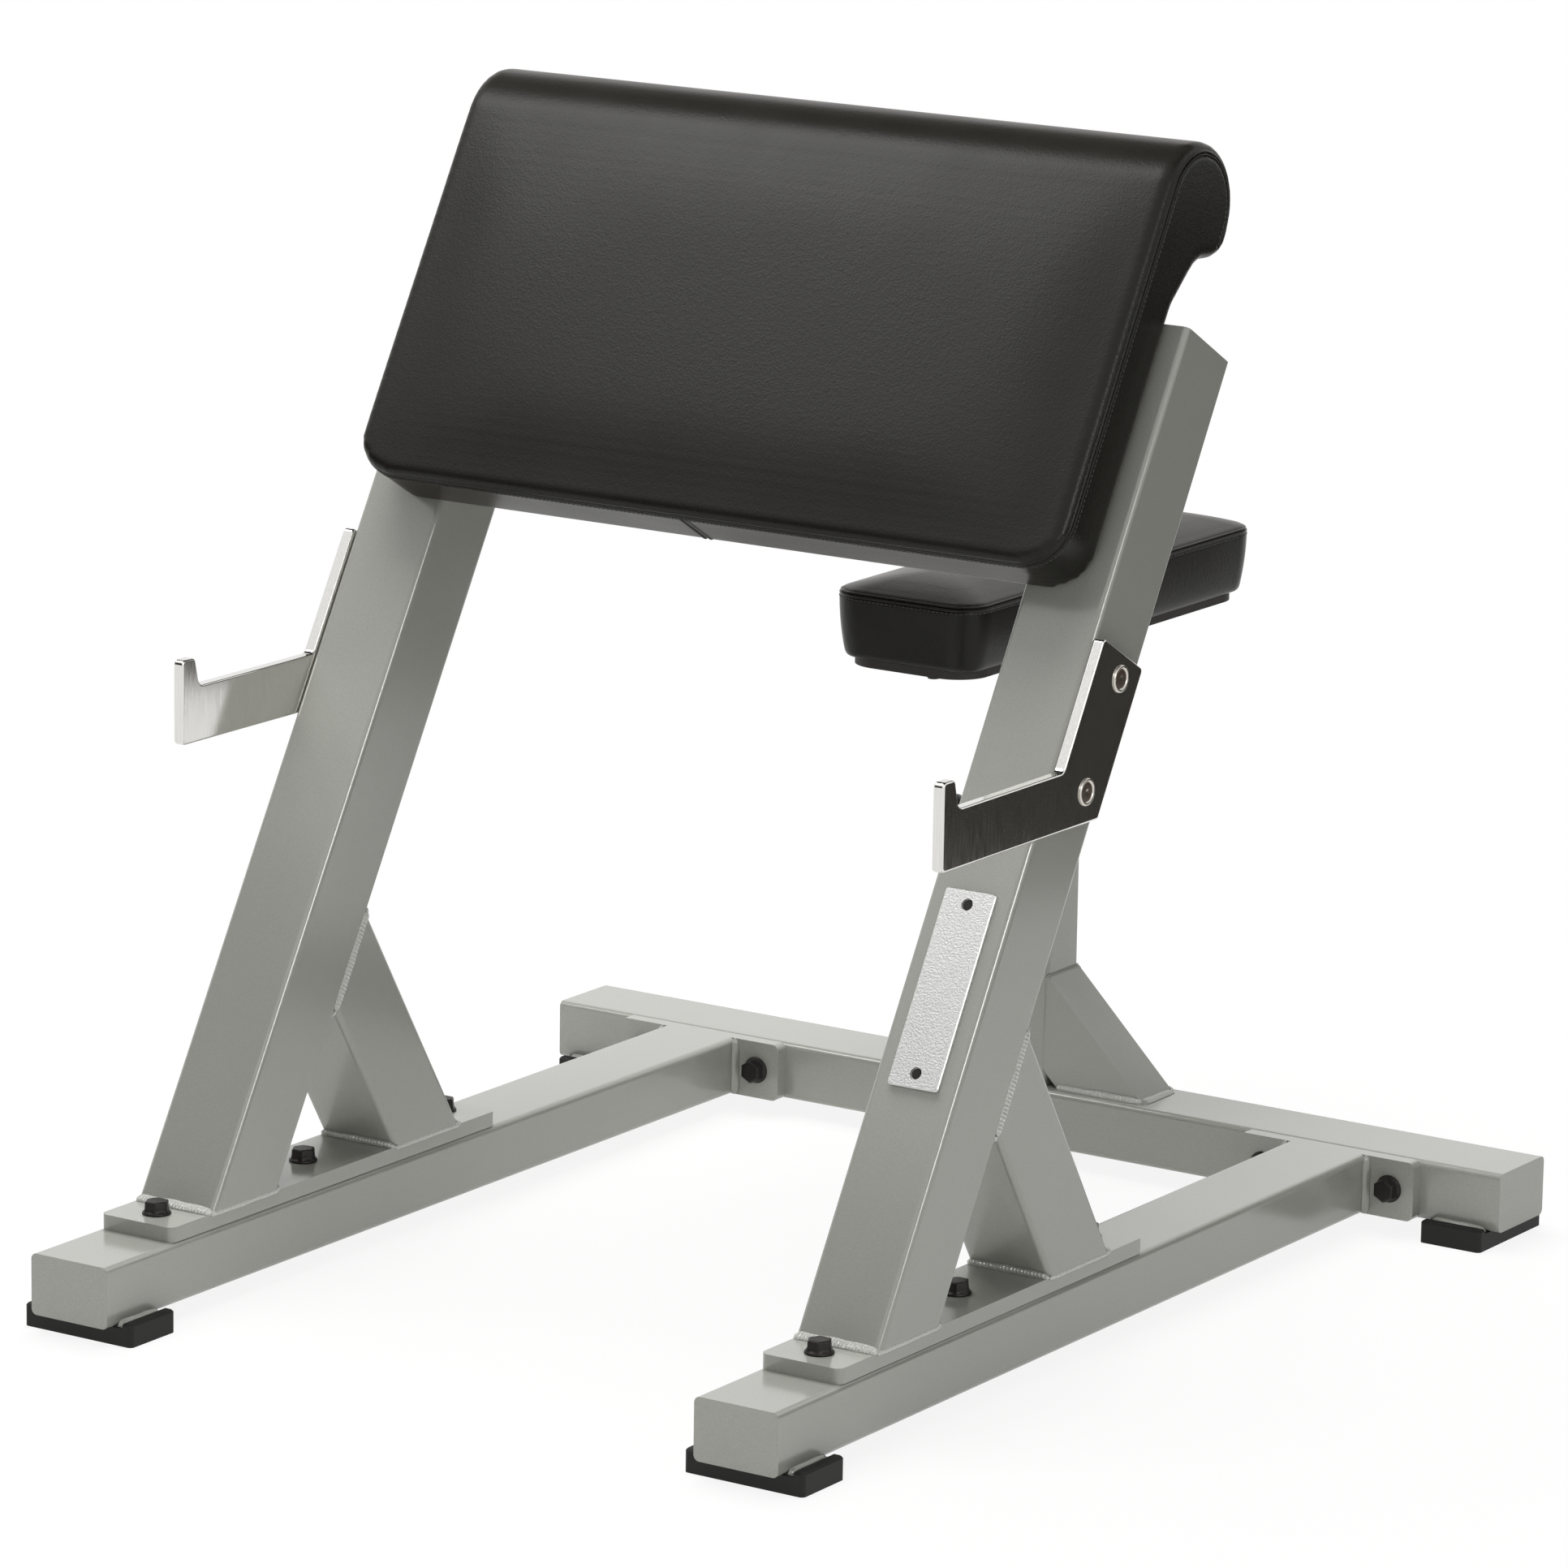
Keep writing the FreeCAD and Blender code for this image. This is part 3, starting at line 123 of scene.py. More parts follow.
def finish(name, **constants):
    """Start a material: its node tree, its Principled shader with constants set, and Object coordinates."""
    material = bpy.data.materials.new(name)
    material.use_nodes = True
    tree = material.node_tree
    shader = tree.nodes["Principled BSDF"]
    for socket, constant in constants.items():
        shader.inputs[socket.replace("_", " ")].default_value = constant
    return material, tree, shader, add(tree, "TexCoord").outputs["Object"]


def per_metre(size_mm):
    """Scale of a pattern whose features are size_mm across, on coordinates in metres."""
    return 1 / (size_mm * MM)


print(f"#808080 is {linear('#808080')[0]:.3f} in linear light, and a 4 mm pattern has a scale of {per_metre(4):.0f}")

# %% [markdown]
# The studio is white all round: a pale floor that melts into a white background, one broad soft light overhead,
# two small ones in front that only show in gloss, as the sheen on the vinyl and the bright lines along the tubes'
# corners, and even light from everywhere else. The white is only for the camera and for reflections, so it
# doesn't add light to the bench. Dark felt cards out of sight give the polished hooks, the pad's roll and the
# uprights something dark to reflect, as a photographer's flags do.

# %% Background and floor
AMBIENT, FLOOR_REACH, MOTTLE_MM = 0.46, 20.0, 300
CLEAN_FROM, CLEAN_TO, SHADOW_SHARE = 0.7, 1.5, 0.88


def white_for_eyes(tree):
    """1 where a ray comes straight from the camera, a mirror or glass, 0 where it only carries light."""
    path = add(tree, "LightPath")
    camera_or_gloss = add(tree, "Math", {0: path.outputs["Is Camera Ray"], 1: path.outputs["Is Glossy Ray"]},
                          operation="MAXIMUM")
    return add(tree, "Math", {0: camera_or_gloss.outputs[0], 1: path.outputs["Is Transmission Ray"]},
               operation="MAXIMUM").outputs[0]


def studio_world():
    """White world: full strength for the camera and for gloss, the ambient strength where it only gives light."""
    world = bpy.data.worlds.new("white_studio")
    world.use_nodes = True
    tree = world.node_tree
    seen = white_for_eyes(tree)
    strength = add(tree, "MapRange", {0: seen, 3: AMBIENT, 4: 1.0})
    tree.links.new(strength.outputs[0], tree.nodes["Background"].inputs["Strength"])
    tree.nodes["Background"].inputs["Color"].default_value = linear("#FFFFFF")
    bpy.context.scene.world = world


def floor_finish():
    """Painted studio floor: matt white, seen pure white apart from a soft shadow close to the bench."""
    material, tree, shader, place = finish("studio_floor_paint", Roughness=0.9)
    mottle = add(tree, "TexNoise", {"Vector": place, "Scale": per_metre(MOTTLE_MM)})
    paint = add(tree, "Mix", {0: mottle.outputs["Fac"], 6: linear("#F2F2F0"), 7: linear("#F6F6F4")}, data_type="RGBA")
    tree.links.new(paint.outputs[2], shader.inputs["Base Color"])
    away = add(tree, "VectorMath", {0: place}, operation="LENGTH")
    clean = add(tree, "MapRange", {0: away.outputs["Value"], 1: CLEAN_FROM, 2: CLEAN_TO, 3: SHADOW_SHARE, 4: 1.0},
                interpolation_type="SMOOTHSTEP")
    share = add(tree, "Math", {0: white_for_eyes(tree), 1: clean.outputs[0]}, operation="MULTIPLY")
    glow = add(tree, "Emission", {"Color": linear("#FFFFFF"), "Strength": 1.0})
    mixed = add(tree, "MixShader", {0: share.outputs[0], 1: shader.outputs[0], 2: glow.outputs[0]})
    tree.links.new(mixed.outputs[0], tree.nodes["Material Output"].inputs["Surface"])
    return material


def stage_sheet(name, corners, material):
    """One flat sheet of the studio from its corners."""
    mesh = bpy.data.meshes.new(name)
    mesh.from_pydata(corners, [], [range(len(corners))])
    mesh.materials.append(material)
    sheet = bpy.data.objects.new(name, mesh)
    bpy.context.scene.collection.objects.link(sheet)
    return sheet


studio_world()
stage_sheet("studio_floor", [(x * FLOOR_REACH, y * FLOOR_REACH, 0) for x, y in ((-1, -1), (1, -1), (1, 1), (-1, 1))],
            floor_finish())
print(f"white background, and a floor {2 * FLOOR_REACH:.0f} m wide")

# %% Cards and softboxes
NAP_MM = 8


def card_finish():
    """Dark felt card: swallows light, so polished metal facing it turns dark."""
    material, tree, shader, place = finish("dark_felt_card", Roughness=1.0)
    nap = add(tree, "TexNoise", {"Vector": place, "Scale": per_metre(NAP_MM)})
    felt = add(tree, "Mix", {0: nap.outputs["Fac"], 6: linear("#2E2C29"), 7: linear("#3C3A36")}, data_type="RGBA")
    tree.links.new(felt.outputs[2], shader.inputs["Base Color"])
    return material


def soft_light(name, place, target, size, watts, sheen_only):
    """A square softbox at place, aimed at target: either it lights surfaces or it only shows in their gloss."""
    lamp = bpy.data.lights.new(name, "AREA")
    lamp.size = size
    lamp.energy = watts
    box = bpy.data.objects.new(name, lamp)
    box.matrix_world = (Matrix.Translation(place)
                        @ (Vector(target) - Vector(place)).to_track_quat("-Z", "Y").to_matrix().to_4x4())
    box.visible_diffuse, box.visible_glossy = not sheen_only, sheen_only
    bpy.context.scene.collection.objects.link(box)


SIDE_CARD = ((0.40, 1.24, 0.13), (0.85, 0.94, 0.10), (1.75, 0.35, 0.03), (1.75, 0.35, 0.80), (0.40, 1.24, 0.80))
FRONT_CARD = ((-2.7, -1.0, 0.35), (-0.3, -2.1, 0.35), (-0.3, -2.1, 1.5), (-2.7, -1.0, 1.5))
CEILING_CARD = ((-3.2, -0.7, 3.7), (2.2, -0.7, 3.7), (2.2, 3.4, 3.7), (-3.2, 3.4, 3.7))
BACK_CARD = ((-1.7, 0.9, 1.95), (-0.1, 1.7, 1.95), (-0.1, 1.7, 2.4), (-1.7, 0.9, 2.4))
SOFTBOXES = (("overhead_softbox", (-0.6, 0.4, 3.3), (0, 0, 0.4), 2.6, 145, False),
             ("front_softbox", (-1.6, -1.0, 3.1), (0, 0, 0.8), 1.4, 34, True),
             ("edge_softbox", (2.7, -1.4, 1.75), (0.2, -0.1, 0.5), 0.8, 22, True))
felt = card_finish()
for name, corners in (("side_card", SIDE_CARD), ("front_card", FRONT_CARD), ("ceiling_card", CEILING_CARD),
                      ("back_card", BACK_CARD)):
    stage_sheet(name, corners, felt).visible_camera = False
for softbox in SOFTBOXES:
    soft_light(*softbox)
print(f"four dark cards and {len(SOFTBOXES)} softboxes set")

# %% [markdown]
# Silver powder coat covers the welded frame. Dry polyester powder with a little metal flake is sprayed on and
# baked, so it is smooth and half glossy with a faint orange-peel skin. A dielectric shader with fine flake
# speckle in the colour and a very low bump does that; it mirrors the white studio at a flat angle, which is
# why the tops of the legs look lighter than their sides. On weld beads the coat is glossier and more uneven,
# and its colour is painted lighter there as a painted highlight for the glints on the rough beads.

# %% Powder coat
# real flake is far finer than a pixel, so it is drawn as coarse as it needs to show
FLAKE_MM, PEEL_MM, SPATTER_MM, CLOUD_MM = 0.8, 4.0, 1.6, 160
NOISE_SPAN = {1: 0.3, 2: 0.7}


def powder_coat(name, tints, gloss, skin_mm, depth_mm):
    """Baked silver-grey polyester powder: half gloss, fine flake, orange peel."""
    material, tree, shader, place = finish(name, IOR=1.5, Metallic=0.12)
    flake = add(tree, "TexNoise", {"Vector": place, "Scale": per_metre(FLAKE_MM), "Detail": 1.0})
    sparkle = add(tree, "MapRange", {0: flake.outputs["Fac"], 1: 0.3, 2: 0.75})
    speckled = add(tree, "Mix", {0: sparkle.outputs[0], 6: linear(tints[0]), 7: linear(tints[1])}, data_type="RGBA")
    cloud = add(tree, "TexNoise", {"Vector": place, "Scale": per_metre(CLOUD_MM), "Detail": 3.0})
    shade = add(tree, "MapRange", {0: cloud.outputs["Fac"], **NOISE_SPAN, 3: 0.0, 4: 0.35})
    colour = add(tree, "Mix", {0: shade.outputs[0], 6: speckled.outputs[2], 7: linear(tints[0])}, data_type="RGBA")
    tree.links.new(colour.outputs[2], shader.inputs["Base Color"])
    dull = add(tree, "MapRange", {0: cloud.outputs["Fac"], 3: gloss[0], 4: gloss[1]})
    tree.links.new(dull.outputs[0], shader.inputs["Roughness"])
    peel = add(tree, "TexNoise", {"Vector": place, "Scale": per_metre(skin_mm), "Detail": 1.0})
    skin = add(tree, "Bump", {"Height": peel.outputs["Fac"], "Strength": 0.3, "Distance": depth_mm * MM})
    tree.links.new(skin.outputs[0], shader.inputs["Normal"])
    return material


FINISHES = {"frame_paint": powder_coat("silver_powder_coat", ("#A0A19A", "#ADAEA7"), (0.14, 0.21), PEEL_MM, 0.06)}
print("powder coat for the frame")

# %% [markdown]
# Black upholstery vinyl covers both pads. It is calendered plastic on cloth, embossed with a leather grain of
# small irregular cells, and satin rather than glossy. The cells come from a cell texture's distance, a few
# tenths of a millimetre deep, and a broader noise varies the gloss where hands have rubbed it. The soft matting
# lacquer on such vinyl scatters light at a flat angle, so edges that turn away look pale and a little brown:
# that is sheen.

# %% Vinyl and thread
# the thread's real twist is about a millimetre long, too fine to show, so it is drawn longer
GRAIN_MM, CREASE_MM, RUB_MM, TWIST_MM = 1.8, 5.0, 90, 6


def vinyl():
    """Embossed black upholstery vinyl: satin, leather grain, a little uneven in gloss."""
    material, tree, shader, place = finish("black_upholstery_vinyl", IOR=1.5, Specular_IOR_Level=0.2,
                                            Sheen_Weight=0.3, Sheen_Roughness=0.22, Sheen_Tint=linear("#F2E4D6"))
    grain = add(tree, "TexVoronoi", {"Vector": place, "Scale": per_metre(GRAIN_MM), "Randomness": 0.9},
                feature="SMOOTH_F1")
    crease = add(tree, "TexNoise", {"Vector": place, "Scale": per_metre(CREASE_MM), "Detail": 4.0})
    rub = add(tree, "TexNoise", {"Vector": place, "Scale": per_metre(RUB_MM), "Detail": 3.0})
    colour = add(tree, "Mix", {0: rub.outputs["Fac"], 6: linear("#181714"), 7: linear("#201F1B")}, data_type="RGBA")
    tree.links.new(colour.outputs[2], shader.inputs["Base Color"])
    gloss = add(tree, "MapRange", {0: rub.outputs["Fac"], **NOISE_SPAN, 3: 0.29, 4: 0.35})
    tree.links.new(gloss.outputs[0], shader.inputs["Roughness"])
    height = add(tree, "Math", {0: grain.outputs["Distance"], 1: crease.outputs["Fac"]}, operation="ADD")
    emboss = add(tree, "Bump", {"Height": height.outputs[0], "Strength": 0.22, "Distance": 0.4 * MM})
    tree.links.new(emboss.outputs[0], shader.inputs["Normal"])
    return material


def thread():
    """Bonded nylon sewing thread: black, twisted, with a soft sheen."""
    material, tree, shader, place = finish("bonded_nylon_thread", Roughness=0.55, Sheen_Weight=0.2)
    twist = add(tree, "TexWave", {"Vector": place, "Scale": per_metre(TWIST_MM), "Distortion": 2.0})
    colour = add(tree, "Mix", {0: twist.outputs["Fac"], 6: linear("#1E1D1C"), 7: linear("#3A3937")}, data_type="RGBA")
    tree.links.new(colour.outputs[2], shader.inputs["Base Color"])
    return material


FINISHES["vinyl"], SEWING_THREAD = vinyl(), thread()
print("vinyl for the pads and thread for their seams")

# %% [markdown]
# The bar hooks are thick flat steel, linished with a belt and nickel plated. The belt leaves fine parallel
# scratches, so the mirror is streaked along the plate: noise stretched along one axis drives both roughness and
# bump. The seat post is chromed tube, the plate on the right upright is a grainy sand casting, and the small
# fasteners are zinc or black oxide.

# %% Metals
# belt scratches and casting sand are really a few tenths of a millimetre, drawn coarser here so that they show
SCRATCH_MM, SAND_MM, OXIDE_MM = 1.2, 1.4, 3.0


def streaked_metal(name, tints, gloss, scratch_mm, stretch, depth_mm):
    """Plated or brushed metal: noise squeezed along the scratches varies colour, gloss and height together."""
    material, tree, shader, place = finish(name, Metallic=1.0)
    lengthways = add(tree, "Mapping", {"Vector": place, "Scale": stretch})
    scratch = add(tree, "TexNoise", {"Vector": lengthways.outputs[0], "Scale": per_metre(scratch_mm), "Detail": 3.0})
    colour = add(tree, "Mix", {0: scratch.outputs["Fac"], 6: linear(tints[0]), 7: linear(tints[1])}, data_type="RGBA")
    tree.links.new(colour.outputs[2], shader.inputs["Base Color"])
    dull = add(tree, "MapRange", {0: scratch.outputs["Fac"], **NOISE_SPAN, 3: gloss[0], 4: gloss[1]})
    tree.links.new(dull.outputs[0], shader.inputs["Roughness"])
    relief = add(tree, "Bump", {"Height": scratch.outputs["Fac"], "Strength": 0.3, "Distance": depth_mm * MM})
    tree.links.new(relief.outputs[0], shader.inputs["Normal"])
    return material


def black_oxide():
    """Hot black oxide on bolt steel: thin, oily, half matt, with a brown cast on worn corners."""
    material, tree, shader, place = finish("black_oxide_steel", Metallic=0.6)
    cloud = add(tree, "TexNoise", {"Vector": place, "Scale": per_metre(OXIDE_MM), "Detail": 3.0})
    colour = add(tree, "Mix", {0: cloud.outputs["Fac"], 6: linear("#1A1918"), 7: linear("#2E2B28")}, data_type="RGBA")
    tree.links.new(colour.outputs[2], shader.inputs["Base Color"])
    dull = add(tree, "MapRange", {0: cloud.outputs["Fac"], 3: 0.34, 4: 0.52})
    tree.links.new(dull.outputs[0], shader.inputs["Roughness"])
    return material


EVEN, LINISHED, DRAWN = (1, 1, 1), (1, 1, 0.05), (1, 1, 0.03)
FINISHES |= {
    "hook_plating": streaked_metal("belt_linished_nickel", ("#D2D1CD", "#E8E7E4"), (0.07, 0.14), SCRATCH_MM,
                                   LINISHED, 0.01),
    "post_plating": streaked_metal("bright_chrome_plate", ("#C9CACC", "#DEDFE1"), (0.05, 0.12), SCRATCH_MM,
                                   DRAWN, 0.01),
    "zinc_steel": streaked_metal("bright_zinc_steel", ("#9A9B9C", "#B9BABC"), (0.3, 0.45), SCRATCH_MM, EVEN, 0.05),
    "cast_aluminium": streaked_metal("sand_cast_aluminium", ("#B8B8B6", "#E2E2E0"), (0.34, 0.50), SAND_MM, EVEN, 1.1),
    "black_bolts": black_oxide(),
}
print("nickel, chrome, zinc, cast aluminium and black oxide")

# %% [markdown]
# The remaining finishes are plain ones: moulded rubber boots, a nylon bush, a moulded knob and the black stained
# plywood under the pads. Each still gets the texture of how it was made, at its own scale.

# %% Rubber, plastics and plywood
MOULD_MM, PLY_MM, GRAIN_RUN = 1.5, 2.2, (1.0, 0.06, 1.0)


def moulded(name, tints, gloss, texture_mm, depth_mm):
    """Moulded rubber or plastic: a fine spark-eroded mould texture and slightly uneven colour."""
    material, tree, shader, place = finish(name, IOR=1.5, Specular_IOR_Level=0.3)
    texture = add(tree, "TexNoise", {"Vector": place, "Scale": per_metre(texture_mm), "Detail": 2.0})
    colour = add(tree, "Mix", {0: texture.outputs["Fac"], 6: linear(tints[0]), 7: linear(tints[1])}, data_type="RGBA")
    tree.links.new(colour.outputs[2], shader.inputs["Base Color"])
    dull = add(tree, "MapRange", {0: texture.outputs["Fac"], 3: gloss[0], 4: gloss[1]})
    tree.links.new(dull.outputs[0], shader.inputs["Roughness"])
    relief = add(tree, "Bump", {"Height": texture.outputs["Fac"], "Strength": 0.25, "Distance": depth_mm * MM})
    tree.links.new(relief.outputs[0], shader.inputs["Normal"])
    return material


def stained_plywood():
    """Birch plywood under black stain: straight grain along the board, open pores, nearly matt."""
    material, tree, shader, place = finish("black_stained_plywood", Roughness=0.6)
    along = add(tree, "Mapping", {"Vector": place, "Scale": GRAIN_RUN})
    fibre = add(tree, "TexNoise", {"Vector": along.outputs[0], "Scale": per_metre(PLY_MM), "Detail": 4.0})
    colour = add(tree, "Mix", {0: fibre.outputs["Fac"], 6: linear("#161412"), 7: linear("#2C2722")}, data_type="RGBA")
    tree.links.new(colour.outputs[2], shader.inputs["Base Color"])
    pores = add(tree, "Bump", {"Height": fibre.outputs["Fac"], "Strength": 0.3, "Distance": 0.3 * MM})
    tree.links.new(pores.outputs[0], shader.inputs["Normal"])
    return material


FINISHES |= {
    "boot_rubber": moulded("moulded_black_rubber", ("#121211", "#1C1C1A"), (0.5, 0.62), MOULD_MM, 0.2),
    "bush_nylon": moulded("black_nylon", ("#161616", "#222221"), (0.4, 0.5), MOULD_MM, 0.1),
    "knob_plastic": moulded("moulded_black_plastic", ("#151515", "#1F1F1E"), (0.3, 0.42), MOULD_MM, 0.1),
    "plywood": stained_plywood(),
}
print("rubber, nylon, plastic and plywood")

# %% [markdown]
# The record says which finish each CAD node has, so one loop puts them on. The nodes' meshes stay as packed.

# %% Finishes on the CAD nodes
for part in frame["record"]["subparts"]:
    for holder in frame["nodes"][part["node"]].material_slots:
        holder.material = FINISHES[part["material_slot"]]

# %% [markdown]
# New pieces are arrays first: points on a grid of two parameters, and the grid's own faces. These helpers turn
# such a grid into a mesh, spread points evenly along a line, and put a finished piece on the body it moves with.

# %% Grids and shells


def evenly(points, count, closed=False):
    """Points spread evenly by length along a polyline: linear interpolation over the running length."""
    line = np.vstack((points, points[:1])) if closed else np.asarray(points)
    run = np.concatenate(([0], np.cumsum(np.linalg.norm(np.diff(line, axis=0), axis=1))))
    at = np.linspace(0, run[-1], count, endpoint=not closed)
    return np.column_stack([np.interp(at, run, line[:, axis]) for axis in range(line.shape[1])])


def grid_faces(rows, columns, wrap_columns=True):
    """Quads between neighbouring rows and columns of a grid stored row by row."""
    row = np.arange(rows - 1)[:, None]
    column = np.arange(columns if wrap_columns else columns - 1)[None, :]
    here, right = row * columns + column, row * columns + (column + 1) % columns
    return np.stack((here, right, right + columns, here + columns), axis=-1).reshape(-1, 4)


def shell_of(rings, closed=False):
    """A closed shell from an array of rings: quads from ring to ring, and a cap on each end of an open one."""
    count, ring = rings.shape[:2]
    quads = grid_faces(count + closed, ring) % (count * ring)
    first = np.arange(ring)
    caps = np.empty((0, ring), dtype=int) if closed else np.stack((first[::-1], first + (count - 1) * ring))
    return rings.reshape(-1, 3), quads, caps


def joined(shells):
    """Several shells as one: the faces of each count on from the points before it."""
    points, quads, caps = zip(*shells)
    first = np.cumsum([0] + [len(some) for some in points[:-1]])
    return (np.vstack(points), np.vstack([some + start for some, start in zip(quads, first)]),
            np.vstack([some + start for some, start in zip(caps, first)]))


print(f"a closed tube of 5 rings of 8 points has {len(grid_faces(5, 8))} sides")

# %% Meshes and pieces


def mesh_from(name, points, *faces):
    """A mesh from an array of points and an array of faces for each number of corners, shaded smooth."""
    mesh = bpy.data.meshes.new(name)
    mesh.from_pydata(points, [], [face for some in faces for face in some.tolist()])
    mesh.shade_smooth()
    return mesh


def object_from(name, mesh):
    """An object at the origin that shows this mesh."""
    piece = bpy.data.objects.new(name, mesh)
    bpy.context.scene.collection.objects.link(piece)
    return piece


def dress(piece, material, body):
    """Give a finished piece its material and put it on the body it moves with."""
    piece.data.materials.clear()
    piece.data.materials.append(material)
    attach(piece, body)
    return piece


def unit(vectors):
    """Vectors scaled to length one."""
    return vectors / np.linalg.norm(vectors, axis=-1, keepdims=True)


def evaluated(piece):
    """The piece's mesh with its modifiers applied, as a new mesh."""
    return bpy.data.meshes.new_from_object(piece.evaluated_get(bpy.context.evaluated_depsgraph_get()))


def points_of(mesh):
    """All points of a mesh as one array."""
    flat = np.empty(3 * len(mesh.vertices))
    mesh.vertices.foreach_get("co", flat)
    return flat.reshape(-1, 3)


def normals_of(mesh):
    """The normals at all points of a mesh as one array."""
    flat = np.empty(3 * len(mesh.vertices))
    mesh.vertices.foreach_get("normal", flat)
    return flat.reshape(-1, 3)


def set_points(mesh, points):
    """Write one array of points back into a mesh."""
    mesh.vertices.foreach_set("co", np.ascontiguousarray(points, dtype=np.float32).ravel())
    mesh.update()


print(f"the CAD mesh of an upright has {len(points_of(frame['nodes']['right_upright'].data))} points")

# %% [markdown]
# Stuffed pads look stuffed because the cover is stretched over foam that pushes back. The way to get that is
# to simulate it: start from a slightly small closed shape, remesh it into even cells, and let cloth physics blow
# it up against its own stiffness. Upholstery vinyl over firm foam is tight, with crisp sewn edges and no small
# wrinkles, so only the outward part of each point's move is kept, averaged with its neighbours' and scaled down
# to the cap, which leaves the broad crown.

# %% Stuffing a pad
PRESSURE, FRAMES, EVENING = 4.0, 20, 60


def remeshed(name, points, faces, voxel):
    """Even cells of one voxel across over a closed grid, laid back onto the grid so that no steps are left."""
    form, cells = (object_from(name, mesh_from(name, points, faces)) for _ in range(2))
    remesh = cells.modifiers.new("even_cells", "REMESH")
    remesh.mode, remesh.voxel_size = "VOXEL", voxel
    cells.modifiers.new("onto_form", "SHRINKWRAP").target = form
    mesh = evaluated(cells)
    for scratch in (form, cells):
        bpy.data.objects.remove(scratch)
    return mesh


def evened_out(mesh, field, passes):
    """Average a field over each point and the points one edge away, again and again."""
    ends = np.empty(2 * len(mesh.edges), dtype=np.int32)
    mesh.edges.foreach_get("vertices", ends)
    one, other = ends.reshape(-1, 2).T
    here, there = np.concatenate((one, other)), np.concatenate((other, one))
    shares = np.bincount(here, minlength=len(field)) + 1
    for _ in range(passes):
        field = (field + np.bincount(here, field[there], len(field))) / shares
    return field


def inflated(mesh, pinned, cap):
    """Blow a closed mesh up with cloth pressure; points in pinned stay, the farthest other moves out by cap."""
    start, out = points_of(mesh), normals_of(mesh)
    skin = object_from("pad_skin", mesh)
    group = skin.vertex_groups.new(name="resting")
    group.add(np.flatnonzero(pinned).tolist(), 1.0, "ADD")
    cloth = skin.modifiers.new("stuffing", "CLOTH")
    cloth.settings.use_pressure = True
    cloth.settings.uniform_pressure_force = PRESSURE
    cloth.settings.vertex_group_mass = "resting"
    cloth.settings.effector_weights.gravity = 0
    cloth.point_cache.frame_end = FRAMES
    for step in range(1, FRAMES + 1):
        bpy.context.scene.frame_set(step)
    swell = ((points_of(evaluated(skin)) - start) * out).sum(1)
    bpy.context.scene.frame_set(1)
    bpy.data.objects.remove(skin)
    swell = evened_out(mesh, np.where(pinned, 0, np.maximum(swell, 0)), EVENING)
    return start + out * (swell * min(1, cap / swell.max()))[:, None], swell.max()


def subdivided(mesh):
    """One level of smooth subdivision over a mesh, applied."""
    coarse = object_from("coarse_pad", mesh)
    smooth = coarse.modifiers.new("smooth", "SUBSURF")
    smooth.levels = smooth.render_levels = 1
    fine = evaluated(coarse)
    bpy.data.objects.remove(coarse)
    fine.shade_smooth()
    return fine


def stuffed(name, points, faces, voxel, resting, cap):
    mesh = remeshed(name, points, faces, voxel)
    swell = 0.0
    grown, swell = inflated(mesh, resting(points_of(mesh)), cap)
    set_points(mesh, grown)
    fine = subdivided(mesh)
    print(f"{name}: {len(fine.polygons)} faces, swelled by {swell / MM:.1f} mm before the cap")
    return fine


print(f"cloth pressure {PRESSURE} for {FRAMES} frames, evened out {EVENING} times")

# %% [markdown]
# The arm pad lies on the uprights' front faces, so it is easiest to draw in their own directions: s runs up the
# slope, f stands out of it. In that side view the pad is a straight face, a round roll over the top and a soft
# lip tucked under the roll. The whole pad is that profile carried across the bench, rounded off at both ends
# and lifted at the two lower corners.

# %% Along and out of the slope
LEAN = math.radians(30)
UP_SLOPE = np.array((0, math.sin(LEAN), math.cos(LEAN)))
OUT_OF_SLOPE = np.array((0, -math.cos(LEAN), math.sin(LEAN)))
upright_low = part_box("right_upright")[0]
SLOPE_FOOT = np.array((0, upright_low.y - upright_low.z * math.tan(LEAN), 0))


def on_slope(x, f, s):
    """A point across x, out f and up s from the foot of the uprights' front faces."""
    return SLOPE_FOOT + np.multiply.outer(x, (1, 0, 0)) + np.multiply.outer(f, OUT_OF_SLOPE) \
        + np.multiply.outer(s, UP_SLOPE)


def slope_of(points):
    """Back from space to (x, f, s)."""
    rel = points - SLOPE_FOOT
    return rel[:, 0], rel @ OUT_OF_SLOPE, rel @ UP_SLOPE


print(f"the slope leans {math.degrees(LEAN):.0f} degrees from a foot at y = {SLOPE_FOOT[1]:.4f} m")

# %% Arm pad profile
PAD_PROUD = 3.0 * MM
PAD_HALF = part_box("arm_pad")[1].x + PAD_PROUD
PAD_LOW, PAD_THICK, PAD_CORNER, PAD_ROUND = 0.708, 0.0585, 0.040, 0.009
ROLL_CENTRE, ROLL_RADIUS, ROLL_DEGREES = np.array((0.005, 1.032)), 0.0535, 172
LIP_SHARES = np.array(((-1.02, -0.05), (-1.00, -0.20), (-0.92, -0.34), (-0.79, -0.46), (-0.63, -0.54), (-0.48, -0.62),
                       (-0.36, -0.76), (-0.27, -0.98), (-0.19, -1.22), (-0.10, -1.50)))
PAD_SPINE = np.array(((0.030, 0.745), (0.030, 1.000), (0.005, 1.032)))
START_SMALL, BACK_NEAR = 0.6 * MM, 2 * MM
BACK_TOP = ROLL_CENTRE[1] - 1.7 * ROLL_RADIUS
CORNER_STEPS, ROLL_STEPS, PROFILE_STEPS = 8, 40, 260


